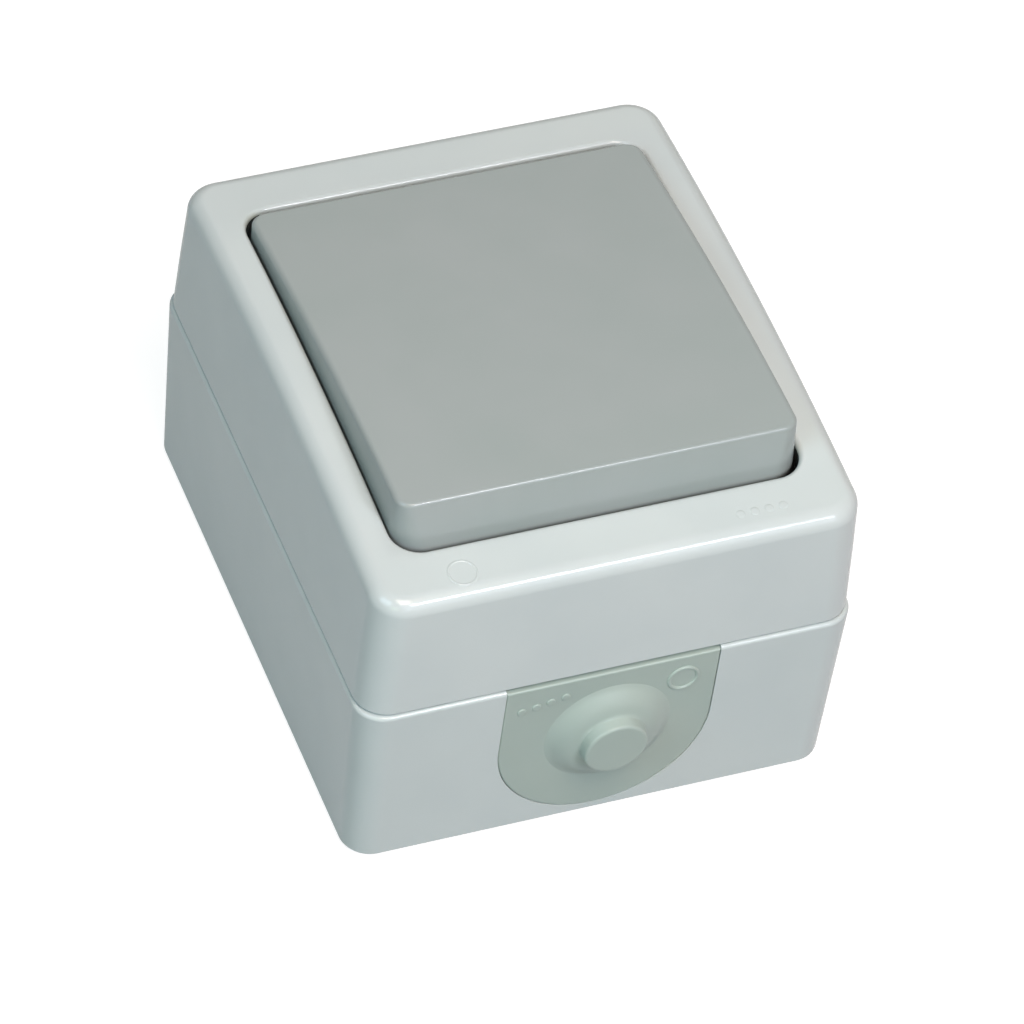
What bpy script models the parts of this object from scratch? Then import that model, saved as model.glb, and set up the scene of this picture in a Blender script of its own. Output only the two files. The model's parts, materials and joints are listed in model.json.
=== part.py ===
import bmesh
import bpy
from math import atan2, cos, pi, radians, sin

# Surface mounted rocker light switch, lying on the back that meets the wall.
# X runs across the switch, Y up the wall and Z out of the wall, in metres.

# Clearances
GAP = 0.0003                    # between fixed pieces that seat on each other
RUNNING_GAP = 0.0003            # around pins, plunger and screws
ROCKER_SIDE_GAP = 0.0004        # rocker skirt to the sides of the cover's well
ROCKER_END_GAP = 0.00065        # rocker skirt to the ends of the cover's well
ROCKER_FLOOR_GAP = 0.0008       # lowest swing of the skirt to the well's floor
PLUNGER_GAP = 0.00018           # plunger tip to the contact arm at mid swing
CONTACT_GAP = 0.0003            # closed contact faces

# Box and cover
BODY_WIDTH = 0.066
BODY_LENGTH = 0.0773
SPLIT_HEIGHT = 0.0267           # rim of the box, where the cover starts
COVER_HEIGHT = 0.04596          # cover's face at its two ends
COVER_CROWN = 0.00196           # how much higher the face is half way along
BOX_WALL = 0.0024
BOX_FLOOR = 0.002
BOX_DRAFT_X = 0.00075           # narrowing of each side towards the wall
BOX_DRAFT_Y = 0.0006
BOX_RIM_RADIUS = 0.004          # plan corner at the rim
BOX_BACK_RADIUS = 0.0039        # plan corner at the back
BOX_INNER_RADIUS = 0.0028
RIM_BEVEL = 0.0006
BACK_BEVEL = 0.00036
COVER_INSET = 0.00028           # the cover stands this far inside the rim
COVER_DRAFT_X = 0.0006
COVER_DRAFT_Y = 0.00033
COVER_FOOT_RADIUS = 0.0043
COVER_FACE_RADIUS = 0.0045
COVER_EDGE_FILLET = 0.0022
COVER_WALL = 0.002
COVER_FACE_THICKNESS = 0.002
COVER_TONGUE_DEPTH = 0.0018     # lip that drops inside the box's rim
COVER_TONGUE_WALL = 0.001
COVER_FOOT_HEIGHT = 0.0018      # thick foot of the cover's wall, over the gasket
COVER_FOOT_SLOPE = 0.001        # height in which the foot thins to the wall
SIDE_BORDER = 0.00608           # face beside the rocker
END_BORDER = 0.00855            # face above and below the rocker
APERTURE_RADIUS = 0.0038
APERTURE_FILLET = 0.0004
WELL_WALL = 0.0016
WELL_FLOOR = 0.002
GASKET_WIDTH = 0.001
GASKET_HEIGHT = 0.001

# Cable entries in both ends of the box
GROMMET_RADIUS = 0.0144         # half width of the U-shaped insert
GROMMET_MARGIN = 0.0009         # insert's lowest point above the back
GROMMET_FLANGE = 0.0012         # thickness of the outer and inner flange
GROMMET_LEDGE = 0.0022          # how far the flanges reach over the wall
GROMMET_CHAMFER = 0.0003
GROMMET_TOP_STEP = 0.0008       # the neck stops this far under the rim
MEMBRANE = 0.0009
DOME_RADIUS = 0.0082
DOME_HEIGHT = 0.0019
NIPPLE_RADIUS = 0.00415
NIPPLE_HEIGHT = 0.0035          # end of the nipple above the flange
NIPPLE_EDGE = 0.0003

# Rocker
ROCKER_TILT = radians(4.3)      # at rest the bottom end stands proud
ROCKER_RISE = 0.00533           # rocker's face above its axis
ROCKER_SKIRT = 0.005            # skirt's lower edge under the axis
ROCKER_SHOULDER = 0.0014        # where the skirt turns upright, under the axis
ROCKER_END_TAPER = 0.0014       # face shorter than the skirt, at each end
ROCKER_SIDE_TAPER = 0.00005
ROCKER_RADIUS = 0.0044
ROCKER_EDGE = 0.0005
ROCKER_PLATE = 0.002
ROCKER_WALL = 0.0018
AXIS_BELOW_FACE = 0.00096       # axis under the ends of the cover's face
HOOK_THICKNESS = 0.0014
HOOK_WIDTH = 0.008
HOOK_BITE = 0.0009
HOOK_LIP = 0.0012

# Actuator, which the rocker clips on
ACTUATOR_WIDTH = 0.022
ACTUATOR_LENGTH = 0.024
ACTUATOR_DROP = 0.003           # block under the axis
PIN_RADIUS = 0.0015
PIN_LENGTH = 0.0026
STEM_WIDTH = 0.008
STEM_LENGTH = 0.017             # stem's end under the axis
BORE_RADIUS = 0.0025
PLUNGER_REACH = 0.0204          # plunger's tip under the axis
PLUNGER_LENGTH = 0.0086
SPRING_WIRE = 0.00025
SPRING_TURNS = 5
BORE_TOP = 0.0048               # closed end of the bore under the axis

# Mechanism
MECHANISM_WIDTH = 0.030
MECHANISM_TOP_END = 0.013       # ends of the mechanism above and below the axis
MECHANISM_BOTTOM_END = 0.019
FRAME_PLATE = 0.002
TURRET_WALL = 0.0015
TURRET_RISE = 0.0015            # turret above the well's floor
EAR_THICKNESS = 0.0027
EAR_RADIUS = 0.0027
LUG_REACH = 0.0095
LUG_LENGTH = 0.009
SEAL_WIDTH = 0.0023
SEAL_HEIGHT = 0.0012

# Contacts and terminals
ARM_TILT = radians(6)
ARM_WIDTH = 0.0032
ARM_REACH = 0.0104
ARM_THICKNESS = 0.001
ARM_RISE = 0.00142              # arm's upper face above its pivot
ARM_PIN_RADIUS = 0.0009
ARM_HUB_WIDTH = 0.0056
ARM_HUB_LENGTH = 0.0026
CONTACT_FROM_END = 0.0019       # contact's axis from the arm's end
CONTACT_RADIUS = 0.0016
CONTACT_HEIGHT = 0.0007
CONTACT_EDGE_SHARE = 0.4        # chamfer as a share of the contact's height
RIVET_RADIUS = 0.0007
STRIP_THICKNESS = 0.0009
STRIP_WIDTH = 0.0033
CRADLE_EAR = 0.0009
CRADLE_EDGE = 0.0012            # metal around the pivot's hole
TERMINAL_PITCH = 0.010
TERMINAL_REACH = 0.015
CLAMP_WIDTH = 0.006
CLAMP_LENGTH = 0.0056
CLAMP_WALL = 0.00105
WIRE_SPACE = 0.0038
CLAMP_SCREW_RADIUS = 0.0014
CLAMP_HEAD_RADIUS = 0.0022
CLAMP_HEAD_HEIGHT = 0.0015
CLAMP_HEAD_RISE = 0.0007
CHAMBER_WALL = 0.0006
POCKET_WIDTH = 0.0116

# Fasteners and wall fixings
SCREW_RADIUS = 0.0014
SCREW_HEAD_RADIUS = 0.0027
SCREW_HEAD_HEIGHT = 0.0018
SCREW_BITE = 0.008
BOSS_RADIUS = 0.0033
COVER_SCREW_SIDE = 0.00805      # from the well's side to a cover screw
COVER_SCREW_END = 0.007         # from the well's end to a cover screw
SLOT_WIDTH = 0.0044
SLOT_LENGTH = 0.0085
SLOT_FROM_END = 0.01165
SLOT_COLLAR = 0.0012
SLOT_COLLAR_HEIGHT = 0.0015
DRIVER_SLOT = 0.0007
DRIVER_SLOT_SHARE = 0.45        # slot's depth as a share of the head's height
HEAD_EDGE_SHARE = 0.35          # head's chamfer as a share of its height
TIP_SHARE = 0.5                 # tip's radius and length as a share of the shank's radius

# Sizes that follow from the ones above
CORNER_STEPS = 5
CROWN_STEPS = 8
ROUND = 20
SMALL_ROUND = 12
MERGE = 0.000005
PASS = 0.001                    # how far a cutter runs past the face it opens

half_width = BODY_WIDTH / 2
half_length = BODY_LENGTH / 2
cover_foot = SPLIT_HEIGHT + GAP
aperture_x = half_width - SIDE_BORDER
aperture_y = half_length - END_BORDER
axis_height = COVER_HEIGHT - AXIS_BELOW_FACE

skirt_x = aperture_x - ROCKER_SIDE_GAP
skirt_y = aperture_y - ROCKER_END_GAP
skirt_swing = skirt_y * sin(ROCKER_TILT) + ROCKER_SKIRT * cos(ROCKER_TILT)
well_floor_top = axis_height - skirt_swing - ROCKER_FLOOR_GAP
well_floor_under = well_floor_top - WELL_FLOOR
rocker_ceiling = ROCKER_RISE - ROCKER_PLATE

arm_pivot_height = axis_height - PLUNGER_REACH - PLUNGER_GAP - ARM_RISE
arm_under = ARM_RISE - ARM_THICKNESS
contact_reach = ARM_REACH - CONTACT_FROM_END
contact_face = arm_under - GAP - CONTACT_HEIGHT
contact_drop = (contact_reach + CONTACT_RADIUS) * sin(ARM_TILT) - contact_face * cos(ARM_TILT)
fixed_contact_top = arm_pivot_height - contact_drop - CONTACT_GAP
strip_top = fixed_contact_top - CONTACT_HEIGHT - GAP
strip_under = strip_top - STRIP_THICKNESS
clamp_window_top = strip_top + GAP
clamp_window_under = strip_under - WIRE_SPACE
clamp_under = clamp_window_under - CLAMP_WALL
insulator_top = arm_pivot_height + ARM_RISE + ARM_REACH * sin(ARM_TILT) + GAP
insulator_under = clamp_under - GAP - CHAMBER_WALL
frame_under = insulator_top + GAP
frame_top = frame_under + FRAME_PLATE
turret_top = well_floor_top + TURRET_RISE
turret_x = ACTUATOR_WIDTH / 2 + RUNNING_GAP + EAR_THICKNESS
stem_room_x = STEM_WIDTH / 2 + RUNNING_GAP
stem_room_y = STEM_WIDTH / 2 + STEM_LENGTH * sin(ROCKER_TILT) + RUNNING_GAP
turret_y = stem_room_y + TURRET_WALL
lug_x = MECHANISM_WIDTH / 2 + LUG_REACH - SCREW_HEAD_RADIUS - GAP
cover_screw_x = aperture_x - COVER_SCREW_SIDE
cover_screw_y = aperture_y - COVER_SCREW_END
entry_height = GROMMET_MARGIN + GROMMET_RADIUS
notch_radius = GROMMET_RADIUS - GROMMET_LEDGE
neck_depth = BOX_WALL + GAP
entry_lean = atan2(BOX_DRAFT_Y, SPLIT_HEIGHT)


def clear_scene():
    for item in list(bpy.data.objects):
        bpy.data.objects.remove(item, do_unlink=True)


def new_collection(name):
    collection = bpy.data.collections.new(name)
    bpy.context.scene.collection.children.link(collection)
    return collection


def plastic(name, colour, roughness, metallic=0.0):
    material = bpy.data.materials.new(name)
    material.use_nodes = True
    shader = material.node_tree.nodes["Principled BSDF"]
    shader.inputs["Base Color"].default_value = (*colour, 1.0)
    shader.inputs["Roughness"].default_value = roughness
    shader.inputs["Metallic"].default_value = metallic
    material.diffuse_color = (*colour, 1.0)
    return material


def add_object(name, mesh, collection, parent=None, place=(0, 0, 0), turn=(0, 0, 0)):
    item = bpy.data.objects.new(name, mesh)
    item.parent = parent
    item.location = place
    item.rotation_euler = turn
    collection.objects.link(item)
    if collection is tool_shapes:
        item.hide_render = True
        item.display_type = "WIRE"
    return item


def shade(item, angle=35):
    item.data.shade_smooth()
    item.data.set_sharp_from_angle(angle=radians(angle))


def finish_mesh(name, shape):
    shape.normal_update()
    bmesh.ops.recalc_face_normals(shape, faces=shape.faces)
    mesh = bpy.data.meshes.new(name)
    shape.to_mesh(mesh)
    shape.free()
    return mesh


def rounded_rectangle(half_x, half_y, radius, crown_steps=1):
    # Counter-clockwise outline; the two sides along Y are divided for the crown
    corners = (
        (half_x - radius, radius - half_y, -90),
        (half_x - radius, half_y - radius, 0),
        (radius - half_x, half_y - radius, 90),
        (radius - half_x, radius - half_y, 180),
    )
    points = []
    for number, (x, y, start) in enumerate(corners):
        for step in range(CORNER_STEPS + 1):
            angle = radians(start + 90 * step / CORNER_STEPS)
            points.append((x + radius * cos(angle), y + radius * sin(angle)))
        if number in (0, 2):
            side = half_x if number == 0 else -half_x
            for step in range(1, crown_steps):
                points.append((side, y - 2 * y * step / crown_steps))
    return points


def u_outline(radius, centre, top):
    # Half round at the foot, straight sides up to the top edge
    points = [(radius, top)]
    for step in range(CORNER_STEPS * 4 + 1):
        angle = -pi * step / (CORNER_STEPS * 4)
        points.append((radius * cos(angle), centre + radius * sin(angle)))
    points.append((-radius, top))
    return points


def at_height(points, z):
    return [(x, y, z) for x, y in points]


def crowned(points, z):
    return [(x, y, z + COVER_CROWN * (1 - (y / half_length) ** 2)) for x, y in points]


def loft(name, rings, closed=False):
    # Skin over rings with equal point counts, capped at both ends or closed on itself
    shape = bmesh.new()
    loops = [[shape.verts.new(point) for point in ring] for ring in rings]
    count = len(loops[0])
    pairs = list(zip(loops, loops[1:]))
    if closed:
        pairs.append((loops[-1], loops[0]))
    for first, second in pairs:
        for i in range(count):
            j = (i + 1) % count
            shape.faces.new((first[i], first[j], second[j], second[i]))
    if not closed:
        shape.faces.new(loops[0])
        shape.faces.new(loops[-1])
    return finish_mesh(name, shape)


def extrude_outline(name, outline, low, high):
    return loft(name, [at_height(outline, low), at_height(outline, high)])


def block(name, low, high):
    shape = bmesh.new()
    bmesh.ops.create_cube(shape, size=1)
    for vert in shape.verts:
        for axis in range(3):
            share = vert.co[axis] + 0.5
            vert.co[axis] = low[axis] + share * (high[axis] - low[axis])
    return finish_mesh(name, shape)


def rod(name, radius, low, high, segments=ROUND, axis="Z"):
    shape = bmesh.new()
    bmesh.ops.create_cone(
        shape, cap_ends=True, segments=segments, radius1=radius, radius2=radius, depth=high - low
    )
    bmesh.ops.translate(shape, verts=shape.verts, vec=(0, 0, (low + high) / 2))
    if axis == "X":
        for vert in shape.verts:
            vert.co = (vert.co.z, vert.co.x, vert.co.y)
    return finish_mesh(name, shape)


def turned(name, profile, collection, segments=ROUND, **placing):
    # Profile of radius and height, from the top down the outside
    mesh = bpy.data.meshes.new(name)
    edges = [(i, i + 1) for i in range(len(profile) - 1)]
    mesh.from_pydata([(radius, 0, height) for radius, height in profile], edges, [])
    item = add_object(name, mesh, collection, **placing)
    screw = item.modifiers.new("turn", "SCREW")
    screw.axis = "Z"
    screw.angle = 2 * pi
    screw.steps = segments
    screw.render_steps = segments
    screw.use_merge_vertices = True
    screw.merge_threshold = MERGE
    return item


def boolean(item, other, operation):
    modifier = item.modifiers.new(other.name, "BOOLEAN")
    modifier.operation = operation
    modifier.solver = "EXACT"
    modifier.object = other


def cut(item, name, mesh, **placing):
    boolean(item, add_object(name, mesh, tool_shapes, **placing), "DIFFERENCE")


def fuse(item, name, mesh, **placing):
    boolean(item, add_object(name, mesh, tool_shapes, **placing), "UNION")


def make(name, mesh, material, **placing):
    item = add_object(name, mesh, switch_parts, **placing)
    item.data.materials.append(material)
    shade(item)
    return item


def box_ring(inset, z, radius_inset=None):
    # Outline of the drafted box at a height, moved in by an inset
    share = 1 - z / SPLIT_HEIGHT
    corner = BOX_RIM_RADIUS + (BOX_BACK_RADIUS - BOX_RIM_RADIUS) * share
    return at_height(
        rounded_rectangle(
            half_width - BOX_DRAFT_X * share - inset,
            half_length - BOX_DRAFT_Y * share - inset,
            corner - (inset if radius_inset is None else radius_inset),
        ),
        z,
    )


def quarter_round(size, steps):
    # Inset and drop of each point round a quarter, from upright to flat
    angles = [pi / 2 * step / steps for step in range(steps + 1)]
    return [(size * (1 - cos(angle)), size * (1 - sin(angle))) for angle in angles]


def slot_outline(length, width):
    return rounded_rectangle(length / 2, width / 2, width / 2 - MERGE * 2)


def make_box():
    rings = [box_ring(BACK_BEVEL, 0), box_ring(0, BACK_BEVEL)]
    for inset, drop in quarter_round(RIM_BEVEL, 3):
        rings.append(box_ring(inset, SPLIT_HEIGHT - drop))
    inner = BOX_RIM_RADIUS - BOX_INNER_RADIUS
    rings.append(box_ring(BOX_WALL, SPLIT_HEIGHT, inner))
    rings.append(box_ring(BOX_WALL, BOX_FLOOR, inner))
    box = make("base_box", loft("base_box", rings), body_grey)

    for side, entry in (("bottom", bottom_entry), ("top", top_entry)):
        over = SPLIT_HEIGHT + 2 * PASS
        notch = u_outline(notch_radius, entry_height, over)
        recess = u_outline(GROMMET_RADIUS + GAP, entry_height, over)
        recess_depth = GROMMET_FLANGE + GAP
        cut(box, f"{side}_notch", extrude_outline("notch", notch, -BOX_WALL - PASS, PASS), parent=entry)
        cut(box, f"{side}_recess", extrude_outline("recess", recess, -recess_depth, PASS), parent=entry)

    for name, x in (("left_boss", -lug_x), ("right_boss", lug_x)):
        fuse(box, name, rod(name, BOSS_RADIUS, BOX_FLOOR / 2, frame_under - GAP), place=(x, 0, 0))
        screw_boss_hole(box, name, (x, 0), frame_under)
    for name, side in (("lower_post", -1), ("upper_post", 1)):
        spot = (side * cover_screw_x, side * cover_screw_y)
        post = rod(name, BOSS_RADIUS, BOX_FLOOR / 2, well_floor_under - GAP)
        fuse(box, name, post, place=(*spot, 0))
        screw_boss_hole(box, name, spot, well_floor_under)

    for name, side in (("lower_slot", -1), ("upper_slot", 1)):
        spot = (0, side * (half_length - SLOT_FROM_END), 0)
        rim = slot_outline(SLOT_LENGTH + 2 * SLOT_COLLAR, SLOT_WIDTH + 2 * SLOT_COLLAR)
        collar = extrude_outline(name, rim, BOX_FLOOR / 2, BOX_FLOOR + SLOT_COLLAR_HEIGHT)
        fuse(box, name + "_collar", collar, place=spot)
        through = slot_outline(SLOT_LENGTH, SLOT_WIDTH)
        hole = extrude_outline(name, through, -PASS, BOX_FLOOR + SLOT_COLLAR_HEIGHT + PASS)
        cut(box, name, hole, place=spot)


def screw_boss_hole(box, name, spot, seat):
    depth = SCREW_BITE + 2 * RUNNING_GAP
    hole = rod(name + "_hole", SCREW_RADIUS + RUNNING_GAP, seat - GAP - depth, seat + PASS, SMALL_ROUND)
    cut(box, name + "_hole", hole, place=(*spot, 0))


def cover_outline(inset, share, radius):
    # Cover's plan, drafted from its foot (share 0) to its face (share 1)
    return rounded_rectangle(
        half_width - COVER_INSET - COVER_DRAFT_X * share - inset,
        half_length - COVER_INSET - COVER_DRAFT_Y * share - inset,
        radius,
        CROWN_STEPS,
    )


def aperture_outline(outset):
    return rounded_rectangle(
        aperture_x + outset, aperture_y + outset, APERTURE_RADIUS + outset, CROWN_STEPS
    )


def rim_outline(inset, radius):
    # Plan that follows the box's rim
    return rounded_rectangle(half_width - inset, half_length - inset, radius, CROWN_STEPS)


def make_cover():
    gasket_outer = BOX_WALL - GASKET_WIDTH - GAP
    tongue = BOX_WALL + GAP
    tongue_radius = BOX_INNER_RADIUS - GAP
    groove_top = cover_foot + GASKET_HEIGHT + GAP
    foot_top = groove_top + COVER_FOOT_HEIGHT
    thin = COVER_HEIGHT - COVER_FACE_THICKNESS

    rings = [
        at_height(aperture_outline(0), well_floor_top),
        crowned(aperture_outline(0), COVER_HEIGHT - APERTURE_FILLET),
    ]
    for inset, drop in quarter_round(APERTURE_FILLET, 3)[1:]:
        rings.append(crowned(aperture_outline(inset), COVER_HEIGHT - drop))
    for inset, drop in reversed(quarter_round(COVER_EDGE_FILLET, 5)):
        outline = cover_outline(inset, 1, COVER_FACE_RADIUS - inset)
        rings.append(crowned(outline, COVER_HEIGHT - drop))
    rings += [
        at_height(cover_outline(0, 0, COVER_FOOT_RADIUS), cover_foot),
        at_height(rim_outline(gasket_outer, BOX_RIM_RADIUS - gasket_outer), cover_foot),
        at_height(rim_outline(gasket_outer, BOX_RIM_RADIUS - gasket_outer), groove_top),
        at_height(rim_outline(tongue, tongue_radius), groove_top),
        at_height(rim_outline(tongue, tongue_radius), cover_foot - COVER_TONGUE_DEPTH),
        at_height(
            rim_outline(tongue + COVER_TONGUE_WALL, tongue_radius - COVER_TONGUE_WALL),
            cover_foot - COVER_TONGUE_DEPTH,
        ),
        at_height(rim_outline(tongue + COVER_TONGUE_WALL, tongue_radius - COVER_TONGUE_WALL), foot_top),
        at_height(cover_outline(COVER_WALL, 1, COVER_FACE_RADIUS - COVER_WALL), foot_top + COVER_FOOT_SLOPE),
        crowned(cover_outline(COVER_WALL, 1, COVER_FACE_RADIUS - COVER_WALL), thin),
        crowned(aperture_outline(WELL_WALL), thin),
        at_height(aperture_outline(WELL_WALL), well_floor_under),
    ]
    cover = make("cover_frame", loft("cover_frame", rings), body_grey)

    opening = rounded_rectangle(turret_x + 2 * GAP, turret_y + 2 * GAP, TURRET_WALL)
    hole = extrude_outline("turret_opening", opening, well_floor_under - PASS, well_floor_top + PASS)
    cut(cover, "turret_opening", hole)
    for name, side in (("lower_screw_hole", -1), ("upper_screw_hole", 1)):
        low = well_floor_under - PASS
        hole = rod(name, SCREW_RADIUS + RUNNING_GAP, low, well_floor_top + PASS, SMALL_ROUND)
        cut(cover, name, hole, place=(side * cover_screw_x, side * cover_screw_y, 0))
    reach = GROMMET_RADIUS + GAP
    for name, side in (("lower_tongue_gap", -1), ("upper_tongue_gap", 1)):
        ends = sorted((side * (half_length - tongue + PASS / 4), side * (half_length - tongue - 2 * PASS)))
        low = cover_foot - COVER_TONGUE_DEPTH - PASS
        gap = block(name, (-reach, ends[0], low), (reach, ends[1], cover_foot))
        cut(cover, name, gap)


def make_gasket():
    inset = BOX_WALL - GASKET_WIDTH
    low = SPLIT_HEIGHT + GAP
    rings = [
        at_height(rim_outline(inset, BOX_RIM_RADIUS - inset), low),
        at_height(rim_outline(inset, BOX_RIM_RADIUS - inset), low + GASKET_HEIGHT),
        at_height(rim_outline(BOX_WALL, BOX_RIM_RADIUS - BOX_WALL), low + GASKET_HEIGHT),
        at_height(rim_outline(BOX_WALL, BOX_RIM_RADIUS - BOX_WALL), low),
    ]
    make("cover_gasket", loft("cover_gasket", rings, closed=True), soft_grey)


def make_grommet(name, entry):
    neck_top = SPLIT_HEIGHT - GROMMET_TOP_STEP
    outer = u_outline(GROMMET_RADIUS, entry_height, SPLIT_HEIGHT)
    face = u_outline(GROMMET_RADIUS - GROMMET_CHAMFER, entry_height, SPLIT_HEIGHT - GROMMET_CHAMFER)
    neck = u_outline(notch_radius - GAP, entry_height, neck_top)
    inner = u_outline(entry_height - BOX_FLOOR - GAP, entry_height, SPLIT_HEIGHT)
    back = -neck_depth - GROMMET_FLANGE
    rings = [
        at_height(inner, back),
        at_height(inner, -neck_depth),
        at_height(neck, -neck_depth),
        at_height(neck, -GROMMET_FLANGE),
        at_height(outer, -GROMMET_FLANGE),
        at_height(outer, -GROMMET_CHAMFER),
        at_height(face, 0),
    ]
    grommet = make(name, loft(name, rings), soft_grey, parent=entry)
    centre = (0, entry_height, 0)

    # Domed membrane with a blind nipple that is cut open for the cable
    steps = 5
    outside = [(0, NIPPLE_HEIGHT), (NIPPLE_RADIUS - NIPPLE_EDGE, NIPPLE_HEIGHT)]
    outside.append((NIPPLE_RADIUS, NIPPLE_HEIGHT - NIPPLE_EDGE))
    shoulder = DOME_RADIUS - NIPPLE_RADIUS
    for step in range(steps + 1):
        angle = pi / 2 * step / steps
        outside.append((NIPPLE_RADIUS + shoulder * sin(angle), DOME_HEIGHT * cos(angle)))
    outside += [(DOME_RADIUS, -MEMBRANE), (0, -MEMBRANE)]
    dome = turned(name + "_dome", outside, tool_shapes, parent=entry, place=centre)
    boolean(grommet, dome, "UNION")

    hollow = [(0, NIPPLE_HEIGHT - MEMBRANE), (NIPPLE_RADIUS - MEMBRANE, NIPPLE_HEIGHT - MEMBRANE)]
    for step in range(steps + 1):
        angle = pi / 2 * step / steps
        radius = NIPPLE_RADIUS - MEMBRANE + shoulder * sin(angle)
        hollow.append((radius, (DOME_HEIGHT + MEMBRANE) * cos(angle) - 2 * MEMBRANE))
    hollow += [(DOME_RADIUS - MEMBRANE, back - PASS), (0, back - PASS)]
    inside = turned(name + "_hollow", hollow, tool_shapes, parent=entry, place=centre)
    boolean(grommet, inside, "DIFFERENCE")


def make_rocker():
    radius = ROCKER_RADIUS
    face_x = skirt_x - ROCKER_SIDE_TAPER
    face_y = skirt_y - ROCKER_END_TAPER
    rings = []
    for inset, drop in reversed(quarter_round(ROCKER_EDGE, 3)):
        outline = rounded_rectangle(face_x - inset, face_y - inset, radius - inset)
        rings.append(at_height(outline, ROCKER_RISE - drop))
    inner_radius = radius - ROCKER_WALL
    skirt = rounded_rectangle(skirt_x, skirt_y, radius)
    inner_skirt = rounded_rectangle(skirt_x - ROCKER_WALL, skirt_y - ROCKER_WALL, inner_radius)
    ceiling = rounded_rectangle(face_x - ROCKER_WALL, face_y - ROCKER_WALL, inner_radius)
    rings += [
        at_height(skirt, -ROCKER_SHOULDER),
        at_height(skirt, -ROCKER_SKIRT),
        at_height(inner_skirt, -ROCKER_SKIRT),
        at_height(inner_skirt, -ROCKER_SHOULDER),
        at_height(ceiling, rocker_ceiling),
    ]
    rocker = make("rocker", loft("rocker", rings), rocker_grey, parent=rocker_axis)

    # Snap hooks that grip the actuator's two ends
    near = ACTUATOR_LENGTH / 2 + GAP
    far = near + HOOK_THICKNESS
    catch = -ACTUATOR_DROP - GAP
    tip = catch - HOOK_LIP
    hook = [
        (near, rocker_ceiling + ROCKER_PLATE / 2),
        (near, catch),
        (near - HOOK_BITE, catch),
        (near, tip),
        (far, tip),
        (far, rocker_ceiling + ROCKER_PLATE / 2),
    ]
    for name, side in (("lower_hook", -1), ("upper_hook", 1)):
        outline = [(side * y, z) for y, z in hook]
        ends = []
        for x in (-HOOK_WIDTH / 2, HOOK_WIDTH / 2):
            ends.append([(x, y, z) for y, z in outline])
        fuse(rocker, name, loft(name, ends), parent=rocker_axis)


def make_actuator():
    half_x = ACTUATOR_WIDTH / 2
    half_y = ACTUATOR_LENGTH / 2
    body = block("actuator", (-half_x, -half_y, -ACTUATOR_DROP), (half_x, half_y, rocker_ceiling - GAP))
    actuator = make("actuator", body, dark_plastic, parent=rocker_axis)
    reach = half_x + PIN_LENGTH
    fuse(actuator, "trunnions", rod("trunnions", PIN_RADIUS, -reach, reach, ROUND, "X"), parent=rocker_axis)
    half_stem = STEM_WIDTH / 2
    stem = block(
        "stem", (-half_stem, -half_stem, -STEM_LENGTH), (half_stem, half_stem, -ACTUATOR_DROP / 2)
    )
    fuse(actuator, "stem", stem, parent=rocker_axis)
    bore = rod("plunger_bore", BORE_RADIUS, -STEM_LENGTH - PASS, -BORE_TOP)
    cut(actuator, "plunger_bore", bore, parent=rocker_axis)


def make_plunger():
    radius = BORE_RADIUS - RUNNING_GAP
    steps = 5
    top = PLUNGER_LENGTH - PLUNGER_REACH
    profile = [(0, top), (radius, top)]
    for step in range(steps + 1):
        angle = pi / 2 * step / steps
        profile.append((radius * cos(angle), -PLUNGER_REACH + radius - radius * sin(angle)))
    profile[-1] = (0, -PLUNGER_REACH)
    plunger = turned("plunger", profile, switch_parts, SMALL_ROUND, parent=rocker_axis)
    plunger.data.materials.append(brass)


def make_spring():
    high = -BORE_TOP - GAP - SPRING_WIRE
    low = PLUNGER_LENGTH - PLUNGER_REACH + GAP + SPRING_WIRE
    radius = BORE_RADIUS - RUNNING_GAP - SPRING_WIRE
    steps = 12 * SPRING_TURNS
    curve = bpy.data.curves.new("plunger_spring", "CURVE")
    curve.dimensions = "3D"
    curve.bevel_depth = SPRING_WIRE
    curve.bevel_resolution = 2
    curve.use_fill_caps = True
    spline = curve.splines.new("POLY")
    spline.points.add(steps)
    for step in range(steps + 1):
        angle = 2 * pi * SPRING_TURNS * step / steps
        height = low + (high - low) * step / steps
        spline.points[step].co = (radius * cos(angle), radius * sin(angle), height, 1)
    spring = add_object("plunger_spring", curve, switch_parts, parent=rocker_axis)
    spring.data.materials.append(steel)


def make_insulator():
    half = MECHANISM_WIDTH / 2
    body = block(
        "insulator",
        (-half, -MECHANISM_BOTTOM_END, insulator_under),
        (half, MECHANISM_TOP_END, insulator_top),
    )
    insulator = make("insulator", body, dark_plastic)
    over = insulator_top + PASS

    pocket = POCKET_WIDTH / 2
    pocket_end = ARM_REACH + GAP
    low = strip_under - GAP
    cut(insulator, "arm_pocket", block("pocket", (-pocket, -pocket_end, low), (pocket, pocket_end, over)))

    room_x = CLAMP_WIDTH / 2 + GAP
    room_y = CLAMP_LENGTH / 2 + GAP
    wire = WIRE_SPACE / 2
    for name, x in terminal_places:
        chamber = block(
            "chamber",
            (x - room_x, -TERMINAL_REACH - room_y, clamp_under - GAP),
            (x + room_x, -TERMINAL_REACH + room_y, over),
        )
        cut(insulator, name + "_chamber", chamber)
        entry = block(
            "entry",
            (x - wire, -MECHANISM_BOTTOM_END - PASS, clamp_window_under),
            (x + wire, -TERMINAL_REACH, clamp_window_under + WIRE_SPACE),
        )
        cut(insulator, name + "_wire_entry", entry)

    for name, legs in strip_legs().items():
        for number, (corner_a, corner_b) in enumerate(legs):
            lows = [min(a, b) - GAP for a, b in zip(corner_a, corner_b)]
            highs = [max(a, b) + GAP for a, b in zip(corner_a, corner_b)]
            channel = block("channel", (*lows, low), (*highs, over))
            cut(insulator, f"{name}_channel_{number}", channel)


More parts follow.
